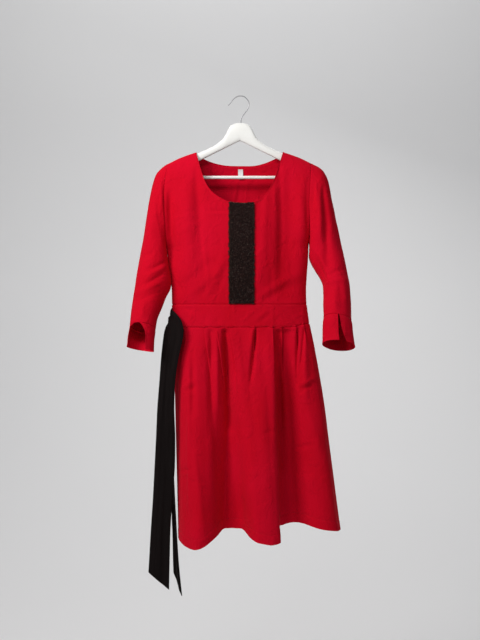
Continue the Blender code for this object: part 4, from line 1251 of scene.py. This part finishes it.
def raised(tree, height, distance, strength=1.0, below=None):
    """Fine relief of a material, over the relief below it."""
    links = [("Height", height), ("Distance", distance), ("Strength", strength)]
    links += [("Normal", below)] if below is not None else []
    return "Normal", wire(tree, "Bump", links).outputs[0]


def roughened(tree, mask, amount, least):
    """Roughness of a material, that rises with a mask."""
    return "Roughness", sums(tree, "MULTIPLY_ADD", mask, amount, least)


def woven_cotton(name, shared, colours, rough, sheen, weave_depth, crinkle, lint_amount):
    """Dyed cotton twill with fine creasing: its size, stretch and depth."""
    sheen = dict(zip(("Sheen_Weight", "Sheen_Roughness", "Sheen_Tint"), sheen))
    material, tree, shader = new_finish(name, Specular_IOR_Level=0.045, **sheen)
    size, stretch, depth = crinkle
    twill = placed(tree, shared["twill"], Threads_per_Metre=1350.0, Slub=0.5)
    creased = placed(tree, shared["crinkle"], Size=size, Stretch=stretch, Patch_Size=6.0)
    folds = raised(tree, creased["Height"], depth)[1]
    # The twill's rib mask paints shade between the threads into the base colour.
    plug(tree, shader, (
        base_colour(tree, shared, colours, Patch=creased["Patch"], Rib=twill["Rib"], Lint_Amount=lint_amount),
        roughened(tree, creased["Patch"], 0.08, rough),
        raised(tree, twill["Height"], weave_depth, 0.8, folds),
    ))
    return material


def red_cotton(shared):
    """Matt red cotton twill of the dress."""
    colours = (0.560, 0.0010, 0.0120), (0.650, 0.0026, 0.0230), (0.66, 0.05, 0.07)
    sheen, crinkle = (0.04, 0.5, (1.0, 0.22, 0.25, 1)), (42.0, 0.75, 0.0021)
    return woven_cotton("red_cotton_twill", shared, colours, 0.80, sheen, 0.00012, crinkle, 0.1)


def black_cotton(shared):
    """Matt black cotton of the tie."""
    colours = (0.0060, 0.0042, 0.0042), (0.0105, 0.0072, 0.0072), (0.030, 0.026, 0.026)
    sheen, crinkle = (0.01, 0.6, (1.0, 0.9, 0.9, 1)), (36.0, 0.25, 0.0014)
    return woven_cotton("black_cotton", shared, colours, 0.82, sheen, 0.00010, crinkle, 0.25)


def sewing_thread(name, shared, colour, paler):
    """Twisted thread of one colour."""
    material, tree, shader = new_finish(name, Roughness=0.6, Specular_IOR_Level=0.3)
    creased = placed(tree, shared["crinkle"], Size=900.0, Stretch=1.0, Patch_Size=400.0)
    colours = base_colour(tree, shared, (colour, paler, paler), Patch=creased["Patch"])
    plug(tree, shader, (colours, raised(tree, creased["Height"], 0.0001)))
    return material


def boucle_yarn(name, shared, dark, brown, grey, amount):
    """Black looped yarn with grey and brown flecks."""
    sheen = {"Sheen_Weight": 0.05, "Sheen_Roughness": 0.5, "Sheen_Tint": (0.8, 0.6, 0.55, 1)}
    material, tree, shader = new_finish(name, Roughness=0.9, Specular_IOR_Level=0.12, **sheen)
    creased = placed(tree, shared["crinkle"], Size=520.0, Stretch=1.0, Patch_Size=210.0)
    colours = base_colour(tree, shared, (dark, brown, grey), Patch=creased["Patch"], Lint_Amount=amount)
    plug(tree, shader, (colours, raised(tree, creased["Height"], 0.0004)))
    return material


def woven_label(shared):
    """Blank white satin label."""
    material, tree, shader = new_finish(
        "white_label_satin", Roughness=0.5, Specular_IOR_Level=0.4, Sheen_Weight=0.1
    )
    twill = placed(tree, shared["twill"], Threads_per_Metre=3600.0, Slub=0.2)
    creased = placed(tree, shared["crinkle"], Size=160.0, Stretch=1.0, Patch_Size=60.0)
    colours = (0.74, 0.74, 0.75), (0.84, 0.84, 0.84)
    # The twill's rib mask paints shade between the threads into the base colour.
    plug(tree, shader, (
        base_colour(tree, shared, colours, Patch=creased["Patch"], Rib=twill["Rib"], Lint_Amount=0.0),
        raised(tree, twill["Height"], 0.00006),
    ))
    return material


def painted_wood(shared):
    """Off-white paint over wood, with brush streaks and slight yellowing at worn places."""
    material, tree, shader = new_finish("painted_wood_offwhite", Specular_IOR_Level=0.45, Coat_Roughness=0.35)
    grain = placed(tree, shared["grain"], Length_Scale=9.0, Cross_Scale=420.0)
    ribs = sums(tree, "MULTIPLY_ADD", grain["Streak"], 0.25, 0.45)
    colours = (0.85, 0.845, 0.81), (0.93, 0.93, 0.91), (0.70, 0.68, 0.62)
    plug(tree, shader, (
        base_colour(tree, shared, colours, Patch=grain["Wear"], Rib=ribs, Lint_Amount=0.12),
        roughened(tree, grain["Wear"], 0.25, 0.30),
        raised(tree, grain["Height"], 0.00018, 0.7),
    ))
    return material


def drawn_steel(shared):
    """Grey steel wire with drawing marks."""
    material, tree, shader = new_finish("hook_steel_wire", Metallic=1.0)
    grain = placed(tree, shared["grain"], Length_Scale=120.0, Cross_Scale=1500.0, Wear_Scale=90.0)
    colours = (0.36, 0.36, 0.37), (0.52, 0.52, 0.54), (0.28, 0.26, 0.24)
    plug(tree, shader, (
        base_colour(tree, shared, colours, Patch=grain["Wear"], Rib=grain["Streak"]),
        roughened(tree, grain["Streak"], 0.2, 0.38),
        raised(tree, grain["Height"], 0.00002, 0.5),
    ))
    return material


def pale_paper_painted_shade():
    """Pale grey paper, with painted shade that makes it darker towards its top and its right."""
    material, tree, shader = new_finish("pale_paper_painted_shade", Roughness=0.9, Specular_IOR_Level=0.1)
    place = place_on(tree)
    tone = blend(tree, noise(tree, place, 0.6, 3.0), (0.965, 0.965, 0.972, 1), (1.0, 1.0, 1.0, 1))
    across, _, height = wire(tree, "SeparateXYZ", (("Vector", place),)).outputs
    painted_shades = []
    # Painted shade: the paper's colour falls from 0.80 to 0.70 towards the top, and to 0.98 towards the
    # right.
    for value, *limits in ((height, 1.2, -0.4, 0.70, 0.80), (across, -1.0, 1.0, 1.00, 0.98)):
        links = zip(("Value", "From Min", "From Max", "To Min", "To Max"), (value, *limits))
        painted_shades.append(wire(tree, "MapRange", links).outputs[0])
    paper = blend(tree, 1.0, tone, sums(tree, "MULTIPLY", *painted_shades), "MULTIPLY")
    plug(tree, shader, (("Base Color", paper),))
    return material


def hang_backdrop():
    """Floor that sweeps up into the wall behind the dress."""
    foot = WALL_Y - SWEEP_RADIUS
    angles = np.linspace(0, math.pi / 2, 25)
    y = np.array((FLOOR_FRONT_Y, *(foot + SWEEP_RADIUS * np.sin(angles)), WALL_Y))
    z = np.array((FLOOR_Z, *(FLOOR_Z + SWEEP_RADIUS * (1 - np.cos(angles))), WALL_TOP_Z))
    x = np.linspace(-BACKDROP_HALF_WIDTH, BACKDROP_HALF_WIDTH, 9)
    verts = np.stack(np.broadcast_arrays(x, y[:, None], z[:, None]), axis=-1)
    faces = quads(np.arange(verts.size // 3).reshape(verts.shape[:2]))
    smooth_mesh("backdrop", verts.reshape(-1, 3), faces, pale_paper_painted_shade())


def soft_lamp(name, place, target, size, power, colour):
    """Rectangular soft light turned towards a point."""
    lamp = bpy.data.lights.new(name, "AREA")
    lamp.shape = "RECTANGLE"
    lamp.size, lamp.size_y = size
    lamp.energy = power
    lamp.color = colour
    thing = add(name, lamp)
    thing.location = place
    thing.rotation_euler = (Vector(target) - thing.location).to_track_quat("-Z", "Y").to_euler()


def set_camera():
    """Camera at the photograph's height and distance, level and straight on."""
    camera = bpy.data.cameras.new("camera")
    camera.lens = SENSOR_MM * CAMERA_DISTANCE / VIEW_HEIGHT
    camera.sensor_width = SENSOR_MM
    camera.clip_end = 50.0
    thing = add("camera", camera)
    thing.location = (0.0, -CAMERA_DISTANCE, CAMERA_Z)
    thing.rotation_euler = (math.pi / 2, 0.0, 0.0)
    bpy.context.scene.camera = thing


def set_light():
    """Soft lamps round the dress, and a weak even light."""
    for lamp in LAMPS:
        soft_lamp(*lamp)
    world = bpy.data.worlds.new("room")
    world.use_nodes = True
    plug(world.node_tree, world.node_tree.nodes["Background"], (("Color", ROOM_COLOUR), ("Strength", 0.15)))
    scene = bpy.context.scene
    scene.world = world
    scene.view_settings.view_transform = "Standard"
    scene.view_settings.look = "None"


def dress_on_hanger():
    """Every piece of the dress and its hanger, in its finish."""
    shared = {"twill": twill_group(), "crinkle": crinkle_group(), "dye_and_rib_shade": dye_and_rib_shade_group(), "grain": grain_group()}
    red, black = red_cotton(shared), black_cotton(shared)
    red_thread = sewing_thread("red_thread", shared, (0.40, 0.004, 0.012), (0.52, 0.010, 0.022))
    white_thread = sewing_thread("white_thread", shared, (0.66, 0.66, 0.66), (0.80, 0.80, 0.80))
    ground, yarn = (boucle_yarn(name, shared, *colours) for name, *colours in BOUCLE)
    sewn = (red, red_thread)
    for name, sew, *cut in (
        ("bodice_front", sew_bodice, *sewn, FRONT, FRONT_NECK, BODICE_FRONT_CREASES, 11),
        ("bodice_back", sew_bodice, *sewn, BACK, BACK_NECK, BODICE_BACK_CREASES, 12),
        ("waistband_front", sew_waistband, *sewn, FRONT, WAISTBAND_FRONT_CREASES, 13),
        ("waistband_back", sew_waistband, *sewn, BACK, WAISTBAND_BACK_CREASES, 14),
        ("skirt_front", sew_skirt, *sewn, FRONT, FRONT_FOLDS, FRONT_PLEATS,
         SKIRT_FRONT_CREASES, SKIRT_FRONT_VALLEYS, 15),
        ("skirt_back", sew_skirt, *sewn, BACK, BACK_FOLDS, BACK_PLEATS,
         SKIRT_BACK_CREASES, SKIRT_BACK_VALLEYS, 16),
        ("sleeve_right", sew_sleeve, red, RIGHT, RIGHT_SLEEVE, RIGHT_SLEEVE_FRONT_CREASES, 17),
        ("sleeve_left", sew_sleeve, red, LEFT, LEFT_SLEEVE, LEFT_SLEEVE_FRONT_CREASES, 18),
        ("cuff_right", sew_cuff, *sewn, RIGHT, RIGHT_CUFF, 19),
        ("cuff_left", sew_cuff, *sewn, LEFT, LEFT_CUFF, 20),
        ("tie_front", hang_tie, black, FRONT, FRONT_TIE, FRONT_TIE_FOLDS, 21),
        ("tie_back", hang_tie, black, BACK, BACK_TIE, BACK_TIE_FOLDS, 22),
    ):
        sew(name, *cut)
    sew_panel(ground, yarn)
    sew_label(woven_label(shared), white_thread)
    wood = painted_wood(shared)
    carve_hanger(wood)
    turn_bar(wood)
    bend_hook(drawn_steel(shared))


set_camera()
set_light()
hang_backdrop()
dress_on_hanger()
